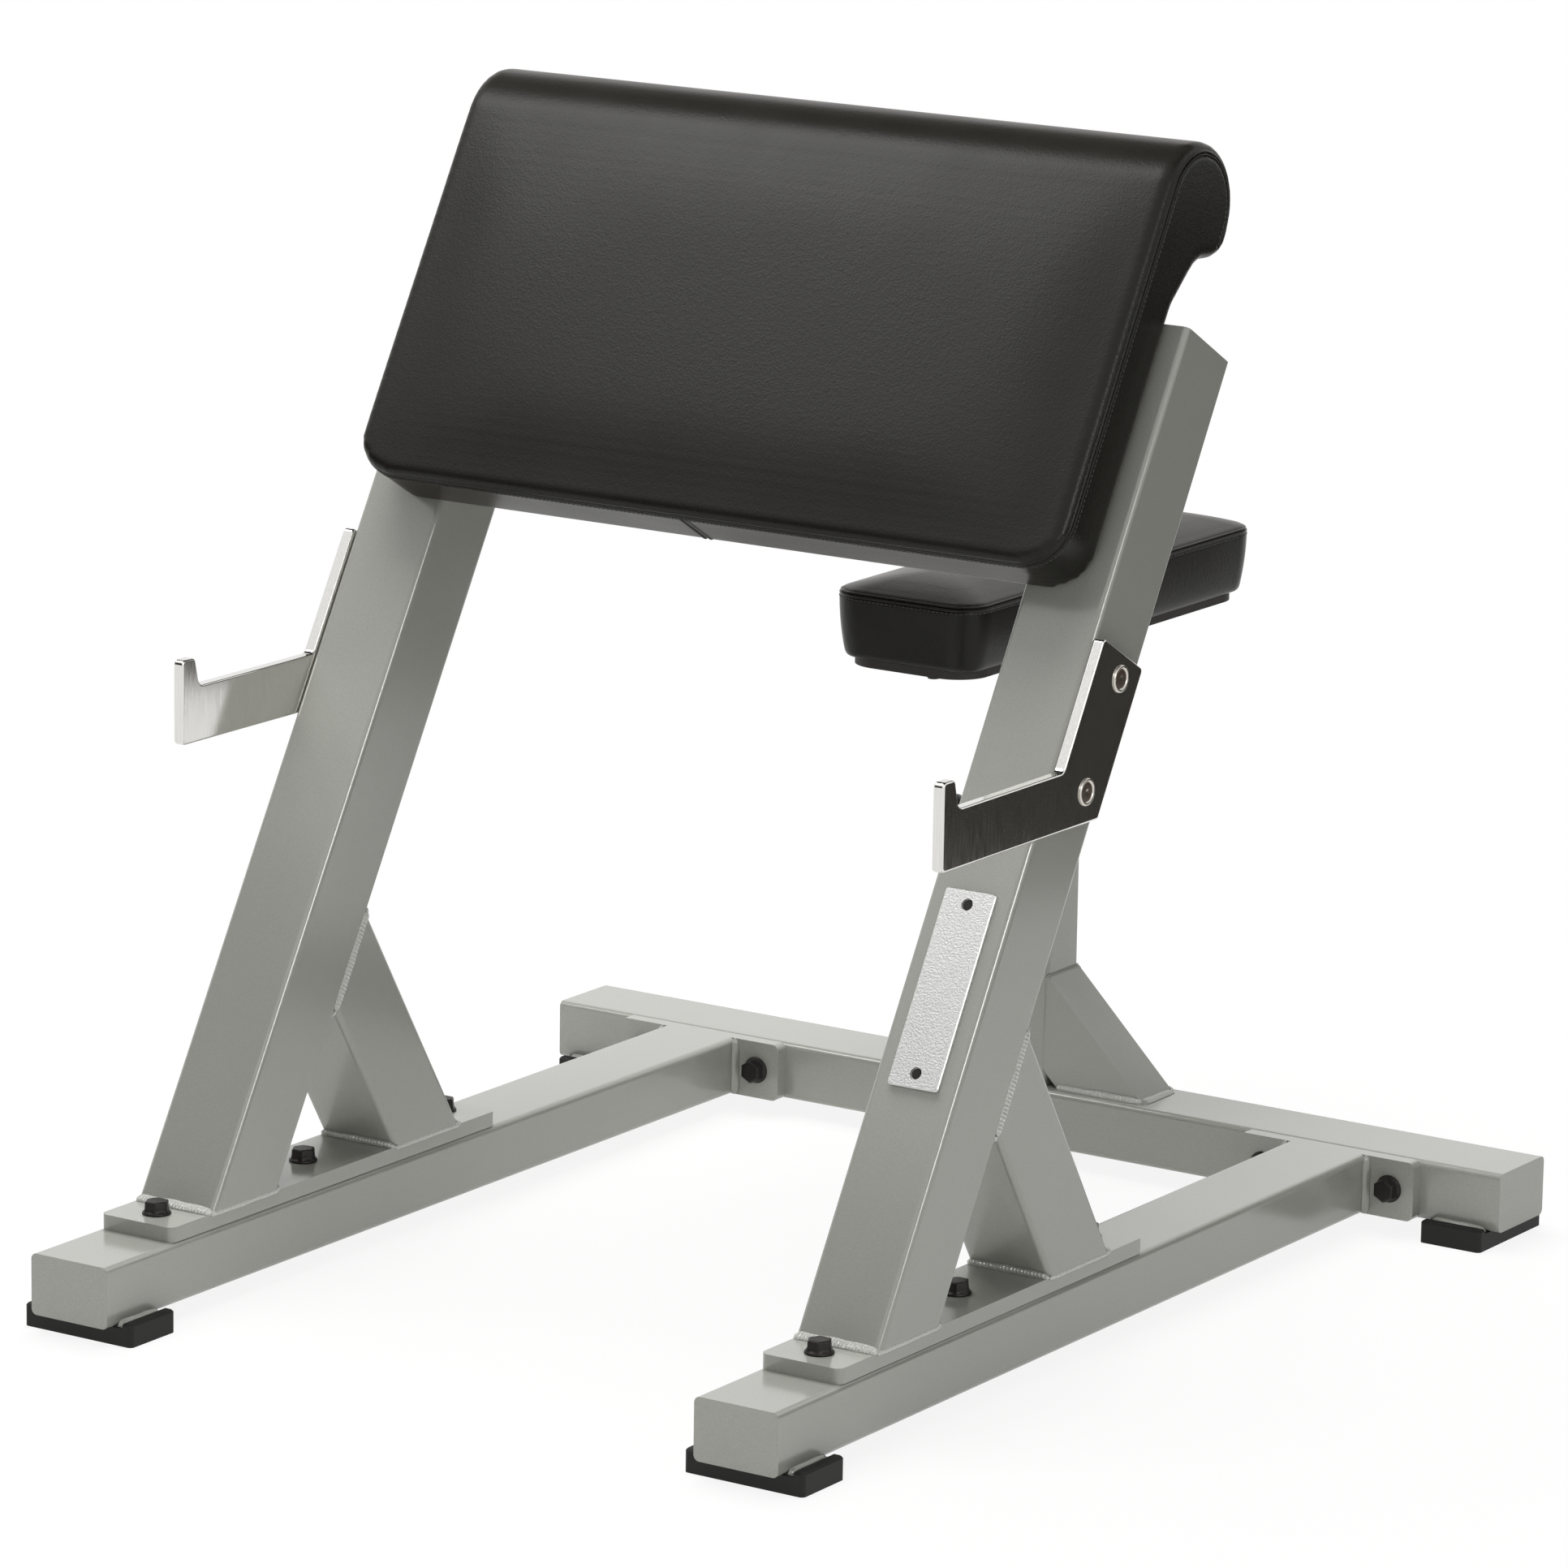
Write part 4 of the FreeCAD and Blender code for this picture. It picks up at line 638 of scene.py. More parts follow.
def arc(centre, radius, from_degrees, to_degrees, count):
    """Points on a circle: centre + radius * (cos, sin) of evenly spaced angles."""
    turn = np.radians(np.linspace(from_degrees, to_degrees, count))
    return np.array(centre) + radius * np.column_stack((np.cos(turn), np.sin(turn)))


def pad_profile(count):
    """Side view (f, s): lower corner, face, round the roll by its angle, down the lip's points, back, bottom."""
    corner = arc((PAD_THICK - PAD_ROUND, PAD_LOW + PAD_ROUND), PAD_ROUND, -90, 0, CORNER_STEPS)
    roll = arc(ROLL_CENTRE, ROLL_RADIUS, 0, ROLL_DEGREES, ROLL_STEPS)
    lip = ROLL_CENTRE + ROLL_RADIUS * LIP_SHARES
    back = np.array(((0, lip[-1, 1]), (0, PAD_LOW)))
    return evenly(np.vstack((corner, roll, lip, back)), count, closed=True)


def outward(profile):
    """Unit normals of a closed profile drawn anticlockwise: its direction turned a quarter clockwise."""
    along = unit(np.roll(profile, -1, axis=0) - np.roll(profile, 1, axis=0))
    return np.column_stack((along[:, 1], -along[:, 0]))


def nearest_on(line, points):
    """For each point, the nearest point of a polyline: clamp its foot on every stretch, keep the closest."""
    start, stretch = line[:-1], np.diff(line, axis=0)
    share = ((points[:, None] - start) * stretch).sum(-1) / (stretch ** 2).sum(-1)
    feet = start + np.clip(share, 0, 1)[..., None] * stretch
    best = np.linalg.norm(points[:, None] - feet, axis=-1).argmin(1)
    return feet[np.arange(len(points)), best]


print(f"the profile is {PAD_THICK / MM:.1f} mm thick, with a roll of radius {ROLL_RADIUS / MM:.1f} mm")

# %% Arm pad shape
ACROSS_STEPS, TURN_STEPS, CLOSE_STEPS = 80, 7, 12
PAD_VOXEL, PAD_CAP = 4.6 * MM, 6 * MM


def corner_lift(x, s):
    """How far a lower corner rises: the sagitta of the corner's arc, fading out up the pad."""
    into = np.clip(np.abs(x) - (PAD_HALF - PAD_CORNER), 0, PAD_CORNER)
    fade = np.clip(1 - (s - PAD_LOW) / (3 * PAD_CORNER), 0, 1) ** 2
    return (PAD_CORNER - np.sqrt(PAD_CORNER ** 2 - into ** 2)) * fade


def arm_pad_grid():
    """The profile carried across: each end turns a quarter round inwards, then closes on the pad's spine."""
    profile = pad_profile(PROFILE_STEPS)
    inward = -outward(profile)
    half = PAD_HALF - START_SMALL
    middle = np.linspace(0, half - PAD_ROUND, ACROSS_STEPS)
    turn = np.radians(np.linspace(0, 90, TURN_STEPS))[1:]
    close = np.linspace(0, 1, CLOSE_STEPS)[1:]
    across = np.concatenate((middle, half - PAD_ROUND + PAD_ROUND * np.sin(turn), np.full(len(close), half)))
    inset = START_SMALL + PAD_ROUND * np.concatenate((0 * middle, 1 - np.cos(turn), np.ones(len(close))))
    closing = np.concatenate((0 * middle, 0 * turn, close))
    across, inset, closing = (np.concatenate((sign * row[:0:-1], row)) for sign, row in
                              ((-1, across), (1, inset), (1, closing)))
    ring = profile + inset[:, None, None] * inward
    ring += closing[:, None, None] * (nearest_on(PAD_SPINE, profile) - ring)
    f, s = ring[..., 0], ring[..., 1]
    x = np.broadcast_to(across[:, None], f.shape)
    points = on_slope(x, f, s + corner_lift(x, s))
    return points.reshape(-1, 3), grid_faces(len(across), len(profile))


def lies_on_uprights(points):
    """Points of the pad's flat back."""
    _, f, s = slope_of(points)
    return (f < START_SMALL + BACK_NEAR) & (s < BACK_TOP)


pad_mesh = stuffed("arm_pad_skin", *arm_pad_grid(), PAD_VOXEL, lies_on_uprights, PAD_CAP)

# %% [markdown]
# The pad's back is drawn flat against the uprights and let in round its plywood board, so those points are put
# back on their planes after the stuffing: nothing may lie behind the uprights' faces or inside the board.

# %% Arm pad back
BOARD_HALF, BOARD_FACE, BOARD_LOW, BOARD_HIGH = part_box("arm_pad_board")[1].x, 0.015, 0.720, 0.980
BOARD_PLAY, BACK_PLAY = 0.4 * MM, 0.3 * MM


def seated_back(mesh):
    """Keep the back in front of the uprights (f = 0) and, inside the board's outline, in front of the board."""
    x, f, s = slope_of(points_of(mesh))
    f = np.where(s < BACK_TOP, np.maximum(f, BACK_PLAY), f)
    within = (np.abs(x) < BOARD_HALF + BOARD_PLAY) & (s > BOARD_LOW - BOARD_PLAY) & (s < BOARD_HIGH + BOARD_PLAY)
    set_points(mesh, on_slope(x, np.where(within, np.maximum(f, BOARD_FACE + BOARD_PLAY), f), s))


seated_back(pad_mesh)
print("arm pad seated on its board and uprights")

# %% [markdown]
# The seat cushion is a long rounded box: a boxing strip runs round its side, sewn to the top panel a finger's
# width below the crown, and it is drawn in towards its board at the bottom. Rings of one rounded rectangle, each
# inset a little more, make the start shape from under the board up the side and over the crown.

# %% Seat cushion shape
seat_low, seat_high = (np.array(corner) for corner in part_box("seat_cushion"))
SEAT_HALF, SEAT_MIDDLE = (seat_high - seat_low)[:2] / 2, (seat_high + seat_low)[:2] / 2
SEAT_CORNER, SEAT_SEAM_DROP, SEAT_DRAWN_IN, SEAT_ROUND = 0.028, 0.010, 0.005, 0.005
UNDER_ROUND, UNDER_NEAR = 0.005, 1 * MM
QUARTER_STEPS, OUTLINE_STEPS, UNDER_STEPS, SIDE_STEPS, EDGE_STEPS, CROWN_STEPS = 12, 260, 10, 14, 6, 16


def rounded_rectangle(half, corner, count):
    """Outline of a rectangle with arcs for corners, evenly spread, drawn anticlockwise from the right."""
    quarters = ((1, 1), (-1, 1), (-1, -1), (1, -1))
    corners = [arc(np.array(signs) * (half - corner), corner, 90 * turn, 90 * turn + 90, QUARTER_STEPS)
               for turn, signs in enumerate(quarters)]
    return evenly(np.vstack(corners), count, closed=True)


def seat_grid():
    """Rings from the middle of the underside out, up the side and in over the crown to the middle line."""
    outline = rounded_rectangle(SEAT_HALF, SEAT_CORNER, OUTLINE_STEPS)
    inward = -outward(outline)
    spine = np.array(((0, SEAT_HALF[0] - SEAT_HALF[1]), (0, SEAT_HALF[1] - SEAT_HALF[0])))
    to_spine = nearest_on(spine, outline)
    low, top = seat_low[2], seat_high[2] - SEAT_SEAM_DROP - START_SMALL
    out, rise = np.linspace(1, 0, UNDER_STEPS), np.linspace(0, 1, SIDE_STEPS)
    side_in = START_SMALL + SEAT_DRAWN_IN * (1 - rise) ** 2
    turn = np.radians(np.linspace(0, 90, EDGE_STEPS))
    crown = np.linspace(0, 1, CROWN_STEPS)[1:]
    height = np.concatenate((0 * out + low, low + UNDER_ROUND * (1 - np.cos(turn)),
                             low + UNDER_ROUND + rise * (top - SEAT_ROUND - low - UNDER_ROUND),
                             top - SEAT_ROUND + SEAT_ROUND * np.sin(turn),
                             top + SEAT_SEAM_DROP * (1 - (1 - crown) ** 2)))
    inset = np.concatenate((0 * out + side_in[0] + UNDER_ROUND, side_in[0] + UNDER_ROUND * (1 - np.sin(turn)),
                            side_in, START_SMALL + SEAT_ROUND * (1 - np.cos(turn)),
                            0 * crown + START_SMALL + SEAT_ROUND))
    closing = np.concatenate((out, 0 * turn, 0 * rise, 0 * turn, crown))
    ring = outline + inset[:, None, None] * inward
    ring += closing[:, None, None] * (to_spine - ring)
    points = np.dstack((ring + SEAT_MIDDLE, np.broadcast_to(height[:, None], ring.shape[:2])))
    return points.reshape(-1, 3), grid_faces(len(height), len(outline))


def lies_on_board(points):
    """Points of the seat cushion's underside."""
    return points[:, 2] < seat_low[2] + UNDER_NEAR


SEAT_VOXEL, SEAT_CAP = 4.0 * MM, 3.5 * MM
seat_mesh = stuffed("seat_skin", *seat_grid(), SEAT_VOXEL, lies_on_board, SEAT_CAP)

# %% Pads in place
arm_pad = dress(object_from("arm_pad_cover", pad_mesh), FINISHES["vinyl"], "frame")
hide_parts("arm_pad")
seat = dress(object_from("seat_cover", seat_mesh), FINISHES["vinyl"], "seat_carriage")
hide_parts("seat_cushion")
print("arm pad and seat covers in place")

# %% [markdown]
# A sewn edge is two pieces of vinyl turned in against each other, so what shows is a narrow valley between two
# soft lips, with a row of topstitching beside it. A seam has to lie on the finished cushion, wherever the
# stuffing has moved it: the path is snapped to the skin with a Shrinkwrap modifier, once on the skin and once a
# millimetre above it, and the difference gives the skin's own normal. The skin is pressed in along the path,
# and the lips are a small profile carried along it.

# %% Following a skin
GROOVE_DEPTH, GROOVE_WIDTH, CHUNKS = 2.2 * MM, 2.0 * MM, 60


def snapped(points, skin, lift):
    """The nearest places on a skin to an array of points, raised off it by lift."""
    probe = object_from("probe", mesh_from("probe", points, np.empty((0, 4), dtype=int)))
    wrap = probe.modifiers.new("onto_skin", "SHRINKWRAP")
    wrap.target, wrap.wrap_mode, wrap.offset = skin, "ABOVE_SURFACE", lift
    result = points_of(evaluated(probe))
    bpy.data.objects.remove(probe)
    return result


def skin_at(points, skin):
    """The places on a skin that are nearest to an array of points of any shape, and the skin's normals there."""
    place, above = (snapped(points.reshape(-1, 3), skin, lift).reshape(points.shape) for lift in (0, 1 * MM))
    return place, unit(above - place)


def laid_on(path, skin, closed):
    """A path on a skin: its points, the skin's normals, and the sideways directions (normal x along)."""
    place, normal = skin_at(path, skin)
    ends = np.roll(place, -1, axis=0) - np.roll(place, 1, axis=0) if closed else np.gradient(place, axis=0)
    return place, normal, unit(np.cross(normal, ends))


def pressed_in(mesh, path):
    """Press a groove into a skin: each point goes in along its normal by depth * exp(-(distance / width)^2)."""
    points = points_of(mesh)
    near = np.concatenate([np.linalg.norm(some[:, None] - path[::2], axis=-1).min(1)
                           for some in np.array_split(points, CHUNKS)])
    depth = GROOVE_DEPTH * np.exp(-(near / GROOVE_WIDTH) ** 2)
    set_points(mesh, points - depth[:, None] * normals_of(mesh))


print(f"grooves {GROOVE_DEPTH / MM:.1f} mm deep")

# %% Lips and stitches
SEAM_HALF, LIP_OUT, LIP_WIDE, LIP_HIGH = 3.8 * MM, 1.3 * MM, 0.8 * MM, 0.45 * MM
VALLEY_DEPTH, VALLEY_WIDE, TUCK, SEAM_DEEP = 1.7 * MM, 0.45 * MM, 0.5 * MM, 3.0 * MM
SEAM_COLUMNS, SEAM_CROWDING, TUCK_POWER = 19, 1.6, 4
STITCH_RINGS, STITCH_SIDES, STITCH_TAPER = 5, 6, 0.9


def seam_lips(laid, skin, closed, size):
    """Two lips and a valley, times size: lip * exp(-((|u| - out) / wide)^2) - valley * exp(-(u / wide)^2), with
    tucked edges, each point raised from its own place on the skin."""
    place, normal, side = (field[:, None] for field in laid)
    share = np.linspace(1, -1, SEAM_COLUMNS)
    u = SEAM_HALF * np.sign(share) * np.abs(share) ** SEAM_CROWDING
    up = (LIP_HIGH * np.exp(-((np.abs(u) - LIP_OUT) / LIP_WIDE) ** 2)
          - VALLEY_DEPTH * np.exp(-(u / VALLEY_WIDE) ** 2) - TUCK * np.abs(share) ** TUCK_POWER)
    spot, out = skin_at(place + size * u[:, None] * side, skin)
    under = place + size * (SEAM_HALF / 2 * np.array((-1, 1))[:, None] * side - SEAM_DEEP * normal)
    return shell_of(np.concatenate((spot + size * up[:, None] * out, under), axis=1), closed)


def stitch_row(laid, pitch, length, thick):
    """Sewn stitches: at each step along the row a short bar, round in section and thinned at both ends."""
    place, normal, side = laid
    run = np.concatenate(([0], np.cumsum(np.linalg.norm(np.diff(place, axis=0), axis=1))))
    middle = np.arange(pitch, run[-1] - pitch, pitch)
    station = np.linspace(-1, 1, STITCH_RINGS)
    at = middle[:, None] + station * length / 2
    spot, up, across = (np.stack([np.interp(at, run, field[:, axis]) for axis in range(3)], axis=-1)
                        for field in (place, normal, side))
    round_turn = np.linspace(0, math.tau, STITCH_SIDES, endpoint=False)
    radius = thick / 2 * np.sqrt(1 - STITCH_TAPER * station ** 2)[:, None, None]
    rings = (spot[:, :, None] + radius * (np.cos(round_turn)[:, None] * across[:, :, None]
                                          + np.sin(round_turn)[:, None] * up[:, :, None]))
    return joined([shell_of(stitch) for stitch in rings])


print(f"seams {2 * SEAM_HALF / MM:.1f} mm wide, with lips {LIP_HIGH / MM:.2f} mm high")

# %% [markdown]
# On the arm pad one seam joins the face to the boxing band: it starts under the roll's lip, runs over the roll
# and down the end, round the lower corner, along the bottom edge and up the other end. A second short seam
# closes the band itself, a little left of the middle.

# %% Arm pad seams
STITCH_PITCH, STITCH_LENGTH, STITCH_THICK, STITCH_ASIDE = 4.2 * MM, 3.4 * MM, 0.9 * MM, 4.6 * MM
BAND_JOIN_X, BAND_JOIN_STEPS, BAND_JOIN_SIZE = -0.015, 30, 2.2
SEAM_STEP, SEAM_DEGREES, SEAM_ROLL_STEPS, SEAM_CORNER_STEPS = 1.6 * MM, 196, 60, 30


def arm_pad_seam():
    """Half a seam: roll, face and lower corner on the end's plane, then the bottom edge; mirrored and joined."""
    roll = arc(ROLL_CENTRE, ROLL_RADIUS - PAD_ROUND, SEAM_DEGREES, 0, SEAM_ROLL_STEPS)
    down = np.array((PAD_THICK - PAD_ROUND, PAD_LOW + PAD_CORNER))
    corner = arc((PAD_HALF - PAD_CORNER, PAD_LOW + PAD_CORNER), PAD_CORNER, 0, -90, SEAM_CORNER_STEPS)
    x = np.concatenate((np.full(len(roll) + 1, PAD_HALF), corner[:, 0], (0,)))
    f = np.concatenate((roll[:, 0], np.full(len(corner) + 2, down[0])))
    s = np.concatenate((roll[:, 1], (down[1],), corner[:, 1], (PAD_LOW,)))
    half = np.column_stack((x, f, s))
    whole = np.vstack((half, half[-2::-1] * (-1, 1, 1)))
    length = np.linalg.norm(np.diff(whole, axis=0), axis=1).sum()
    return on_slope(*evenly(whole, int(length / SEAM_STEP)).T)


def band_join():
    """A straight line across the bottom band, from the front seam to the back."""
    f = np.linspace(PAD_THICK - PAD_ROUND, BACK_NEAR, BAND_JOIN_STEPS)
    return on_slope(np.full(len(f), BAND_JOIN_X), f, np.full(len(f), PAD_LOW))


def sew(name, skin, path, closed, body, stitch_asides, size=1.0):
    """Press a path into a skin, lay seam lips along it, and stitch rows beside it."""
    laid = laid_on(path, skin, closed)
    lips = mesh_from(name + "_seam", *seam_lips(laid, skin, closed, size))
    rows = [laid_on(laid[0] + aside * laid[2], skin, closed) for aside in stitch_asides]
    pressed_in(skin.data, laid[0])
    dress(object_from(name + "_seam", lips), FINISHES["vinyl"], body)
    for number, row in enumerate(rows):
        title = f"{name}_stitches_{number}"
        stitches = mesh_from(title, *stitch_row(row, STITCH_PITCH, STITCH_LENGTH, STITCH_THICK))
        dress(object_from(title, stitches), SEWING_THREAD, body)
    print(f"{name}: seam of {len(path)} steps, {len(stitch_asides)} stitch rows")


sew("arm_pad_edge", arm_pad, arm_pad_seam(), False, "frame", (STITCH_ASIDE,))
sew("arm_pad_band", arm_pad, band_join(), False, "frame", (), size=BAND_JOIN_SIZE)

# %% Seat seam
SEAT_SEAM_SHARE, SEAT_SEAM_STEPS = 0.6, 700
SEAT_SEAM_Z = seat_high[2] - SEAT_SEAM_DROP - SEAT_ROUND * SEAT_SEAM_SHARE


def seat_seam():
    """The cushion's outline at the height where the top panel meets the boxing strip."""
    flat = rounded_rectangle(SEAT_HALF, SEAT_CORNER, SEAT_SEAM_STEPS) + SEAT_MIDDLE
    return np.column_stack((flat, np.full(len(flat), SEAT_SEAM_Z)))


sew("seat_edge", seat, seat_seam(), True, "seat_carriage", (-STITCH_ASIDE,))

# %% [markdown]
# The frame is welded tube under its paint. A fillet weld fills the corner between two faces: it bulges a little
# between its two toes, and each pulse of the arc leaves a crescent, like a row of coins pushed over. Bump in the
# paint could hint at that, but a bead is a shape and catches the light, so each one is a section carried along
# the corner, with its size and ripples worked out along the run. Beads that were dressed flat have no ripples.

# %% Weld bead
RIPPLE_PITCH, RIPPLE_STEP, SMOOTH_STEP = 3.2 * MM, 0.6 * MM, 2.0 * MM
BULGE, RIPPLE_HEIGHT, CRESCENT, ROOT = 0.18, 0.26, 0.45, 0.3
WANDER = ((0.07, 11.0 * MM), (0.05, 4.3 * MM))
SECTION_STEPS, END_TIP = 9, 0.03


def bead(path, a, b, leg, rippled, out=None, closed=False):
    """A weld in the corner along a path, between toes leg * a and leg * b away from it. Its skin is the straight
    line between the toes plus a half sine outwards; crescents 1 - (2 fraction - 1)^2 repeat along it on a phase
    that lags at the toes, sums of sines vary its size, and the ends of an open bead round off as a circle."""
    a, b = (np.broadcast_to(unit(np.asarray(way, dtype=float)), path.shape) for way in (a, b))
    out = unit(a + b) if out is None else np.broadcast_to(np.asarray(out, dtype=float), path.shape)
    if np.dot(path[1] - path[0], np.cross(out[0], b[0] - a[0])) < 0:
        path, a, b, out = path[::-1], a[::-1], b[::-1], out[::-1]
    run = np.concatenate(([0], np.cumsum(np.linalg.norm(np.diff(path, axis=0), axis=1))))
    size = leg * (1 + sum(share * np.sin(run / wave + wave / MM) for share, wave in WANDER))
    if not closed:
        near_end = np.clip(np.minimum(run, run[-1] - run) / leg, END_TIP, 1)
        size = size * np.sqrt(1 - (1 - near_end) ** 2)
    t = np.linspace(0, 1, SECTION_STEPS)
    coin = 1 - (2 * ((run[:, None] / RIPPLE_PITCH + CRESCENT * (2 * t - 1) ** 2) % 1) - 1) ** 2
    swell = np.sin(math.pi * t) * (BULGE + rippled * RIPPLE_HEIGHT * coin)
    path, a, b, out, size = path[:, None], a[:, None], b[:, None], out[:, None], size[:, None, None]
    skin = path + size * ((1 - t)[:, None] * a + t[:, None] * b + swell[..., None] * out)
    return shell_of(np.concatenate((skin, path - ROOT * size * out), axis=1), closed)


def straight(start, end, a, b, leg_mm, rippled, out=None):
    """A bead along a straight corner."""
    start, end = np.asarray(start), np.asarray(end)
    count = int(np.linalg.norm(end - start) / (RIPPLE_STEP if rippled else SMOOTH_STEP)) + 2
    return bead(np.linspace(start, end, count), a, b, leg_mm * MM, rippled, out)


print(f"ripples every {RIPPLE_PITCH / MM:.1f} mm along a bead")

# %% [markdown]
# The beads go where the real frame needs them: round the feet of the uprights and braces, along the joint between
# the two, at the flanges and foot plates, and round the post sleeve and its gussets. Their places come from the
# boxes of the CAD pieces that they join. Each bead is a row: its start, its end, the ways to its two toes, its leg in
# mm, whether it is rippled, and the way out of a flush joint. The left half is the mirror image of the right one.

# %% Welds of an upright
FRONT, BACK, RIGHT, UP = (np.array(way, dtype=float) for way in ((0, -1, 0), (0, 1, 0), (1, 0, 0), (0, 0, 1)))
BRACE_LEAN = math.radians(32)
UP_BRACE = np.array((0, -math.sin(BRACE_LEAN), math.cos(BRACE_LEAN)))
FLUSH = 0.5 * MM


def upright_welds():
    """Beads at the feet of an upright and its brace, and round the joint where the brace meets the upright."""
    (inner, front, deck), (outer, _, _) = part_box("right_upright")
    (_, joint_y, _), (_, heel, joint_z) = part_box("right_brace")
    tube = outer - inner
    shoulder_low = (joint_y - SLOPE_FOOT[1] - tube * math.cos(LEAN)) / math.sin(LEAN)
    shoulder_high = (joint_z + tube * math.sin(LEAN)) / math.cos(LEAN)
    # a row is the corner's place in the side view, the ways to its two toes, and its leg in mm
    corners = [((front, deck), FRONT, UP_SLOPE, 5.5), ((front + tube / math.cos(LEAN), deck), BACK, UP_SLOPE, 5),
               ((heel - tube / math.cos(BRACE_LEAN), deck), FRONT, UP_BRACE, 6), ((heel, deck), BACK, UP_BRACE, 6),
               (on_slope(0, -tube, shoulder_low)[1:], -UP_SLOPE, -UP_BRACE, 5),
               (on_slope(0, -tube, shoulder_high)[1:], UP_SLOPE, -UP_BRACE, 5)]
    beads = [((inner, *spot), (outer, *spot), a, b, leg, True) for spot, a, b, leg in corners]
    for side, out in ((inner, -RIGHT), (outer, RIGHT)):
        low, high = (on_slope(side, -tube, s) - FLUSH * out for s in (shoulder_low, shoulder_high))
        beads.append((low, high, OUT_OF_SLOPE, -OUT_OF_SLOPE, 5, True, out))
        for start, end in ((front, front + tube / math.cos(LEAN)), (heel - tube / math.cos(BRACE_LEAN), heel)):
            flush = side - FLUSH * out[0]
            beads.append(((flush, start, deck), (flush, end, deck), UP, -UP, 2.4, True, out))
    return beads


welds = upright_welds()
print(f"{len(welds)} beads on an upright")

# %% Welds of the base and the post
CROSS_LOW, CROSS_HIGH, CROSS_DEEP, NOTCH, INSET = 0.8119, 0.8881, 0.0508, 0.012, 2.0 * MM


def base_welds():
    """Beads at a leg's flange, under the tubes along the foot plates, and where the cross tube meets an upright."""
    (inner, _, low), (outer, flange, top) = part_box("right_leg_tube")
    (_, plate_front, _), (_, plate_back, plate_top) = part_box("right_front_foot_plate")
    (rear_in, _, _), (rear_out, _, rear_top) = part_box("right_rear_foot_plate")
    (_, beam_front, _), (_, beam_back, _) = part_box("rear_beam")
    beads = []
    for x, out in ((inner, -RIGHT), (outer, RIGHT)):
        beads.append(((x, flange, low), (x, flange, top), out, FRONT, 5, False))
        beads.append(((x, plate_front, plate_top), (x, plate_back, plate_top), out, UP, 4.5, False))
    for y, out in ((beam_front, FRONT), (beam_back, BACK)):
        beads.append(((rear_in, y, rear_top), (rear_out, y, rear_top), out, UP, 4.5, False))
    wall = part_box("pad_cross_tube")[1].x
    for s, way in ((CROSS_LOW, -UP_SLOPE), (CROSS_HIGH, UP_SLOPE)):
        beads.append((on_slope(wall, -INSET, s), on_slope(wall, -CROSS_DEEP, s), way, -RIGHT, 5, True))
    beads.append((on_slope(wall, -CROSS_DEEP, CROSS_LOW), on_slope(wall, -CROSS_DEEP, CROSS_HIGH), -OUT_OF_SLOPE,
                  -RIGHT, 5, True))
    return beads


def post_welds():
    """Beads that hold a gusset to the beam and the sleeve, and half of those that hold the sleeve to the beam."""
    (sleeve, front, deck), (tip, back, top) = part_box("right_post_gusset")
    slope = np.array((sleeve - tip, 0, top - deck))
    beads = [((tip, front, deck), (tip, back, deck), RIGHT, slope, 4.5, False),
             ((sleeve, front, top), (sleeve, back, top), UP, -slope, 2, False)]
    for y, out in ((front, FRONT), (back, BACK)):
        beads.append(((sleeve + NOTCH, y, deck), (tip, y, deck), out, UP, 4.5, True))
        beads.append(((0, y, deck), (sleeve, y, deck), out, UP, 5, True))
        face = np.array((sleeve, y, 0)) - FLUSH * out
        beads.append((face + (deck + NOTCH) * UP, face + top * UP, -RIGHT, RIGHT, 3.5, False, out))
    return beads


welds += base_welds() + post_welds()
print(f"{len(welds)} beads on the right half")

# %% Frame welds
MIRROR = np.array((-1, 1, 1))


def both_sides(beads):
    """Each bead of the right half and its mirror image."""
    mirrored = [[np.asarray(way) * MIRROR for way in row[:4]] + list(row[4:6]) + [way * MIRROR for way in row[6:]]
                for row in beads]
    return list(beads) + mirrored


def weld_piece(name, shells, material, body):
    """Several beads as one piece on a body."""
    dress(object_from(name, mesh_from(name, *joined(shells))), material, body)


# the beads get a lighter copy of the frame's powder coat: the lighter colour is a painted highlight for the glints on
# their ripples
WELD_COAT_PAINTED_HIGHLIGHT = powder_coat("powder_coat_on_weld_painted_highlight", ("#B9B9B3", "#E4E4E0"), (0.08, 0.16), SPATTER_MM, 1.6)
welds = both_sides(welds)
weld_piece("frame_welds", [straight(*row) for row in welds if row[5]], WELD_COAT_PAINTED_HIGHLIGHT, "frame")
weld_piece("frame_fillets", [straight(*row) for row in welds if not row[5]], FINISHES["frame_paint"], "frame")
print(f"{len(welds)} weld beads on the frame")

# %% Post and pin welds
BARREL_RADIUS, BARREL_STEPS, SMALL_LEG_MM = 11 * MM, 140, 4


def post_top_welds():
    """Four beads under the seat bar, round the head of the post."""
    (left, front, _), (right, back, bar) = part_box("seat_post")
    sides = [((left, front), (right, front), FRONT), ((right, front), (right, back), RIGHT),
             ((right, back), (left, back), BACK), ((left, back), (left, front), -RIGHT)]
    return [straight((*start, bar), (*end, bar), out, -UP, SMALL_LEG_MM, True) for start, end, out in sides]


def barrel_weld():
    """A ring round the pull pin's barrel: toes out along the sleeve's face and along the barrel."""
    low, high = (np.array(corner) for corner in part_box("pin_barrel"))
    turn = np.linspace(0, math.tau, BARREL_STEPS, endpoint=False)
    radial = np.column_stack((0 * turn, np.cos(turn), np.sin(turn)))
    centre = np.array((high[0], *((low + high) / 2)[1:]))
    return bead(centre + BARREL_RADIUS * radial, radial, -RIGHT, SMALL_LEG_MM * MM, True, closed=True)


weld_piece("post_welds", post_top_welds(), WELD_COAT_PAINTED_HIGHLIGHT, "seat_carriage")
weld_piece("barrel_weld", [barrel_weld()], WELD_COAT_PAINTED_HIGHLIGHT, "frame")
print("beads at the post's head and the pull pin's barrel")

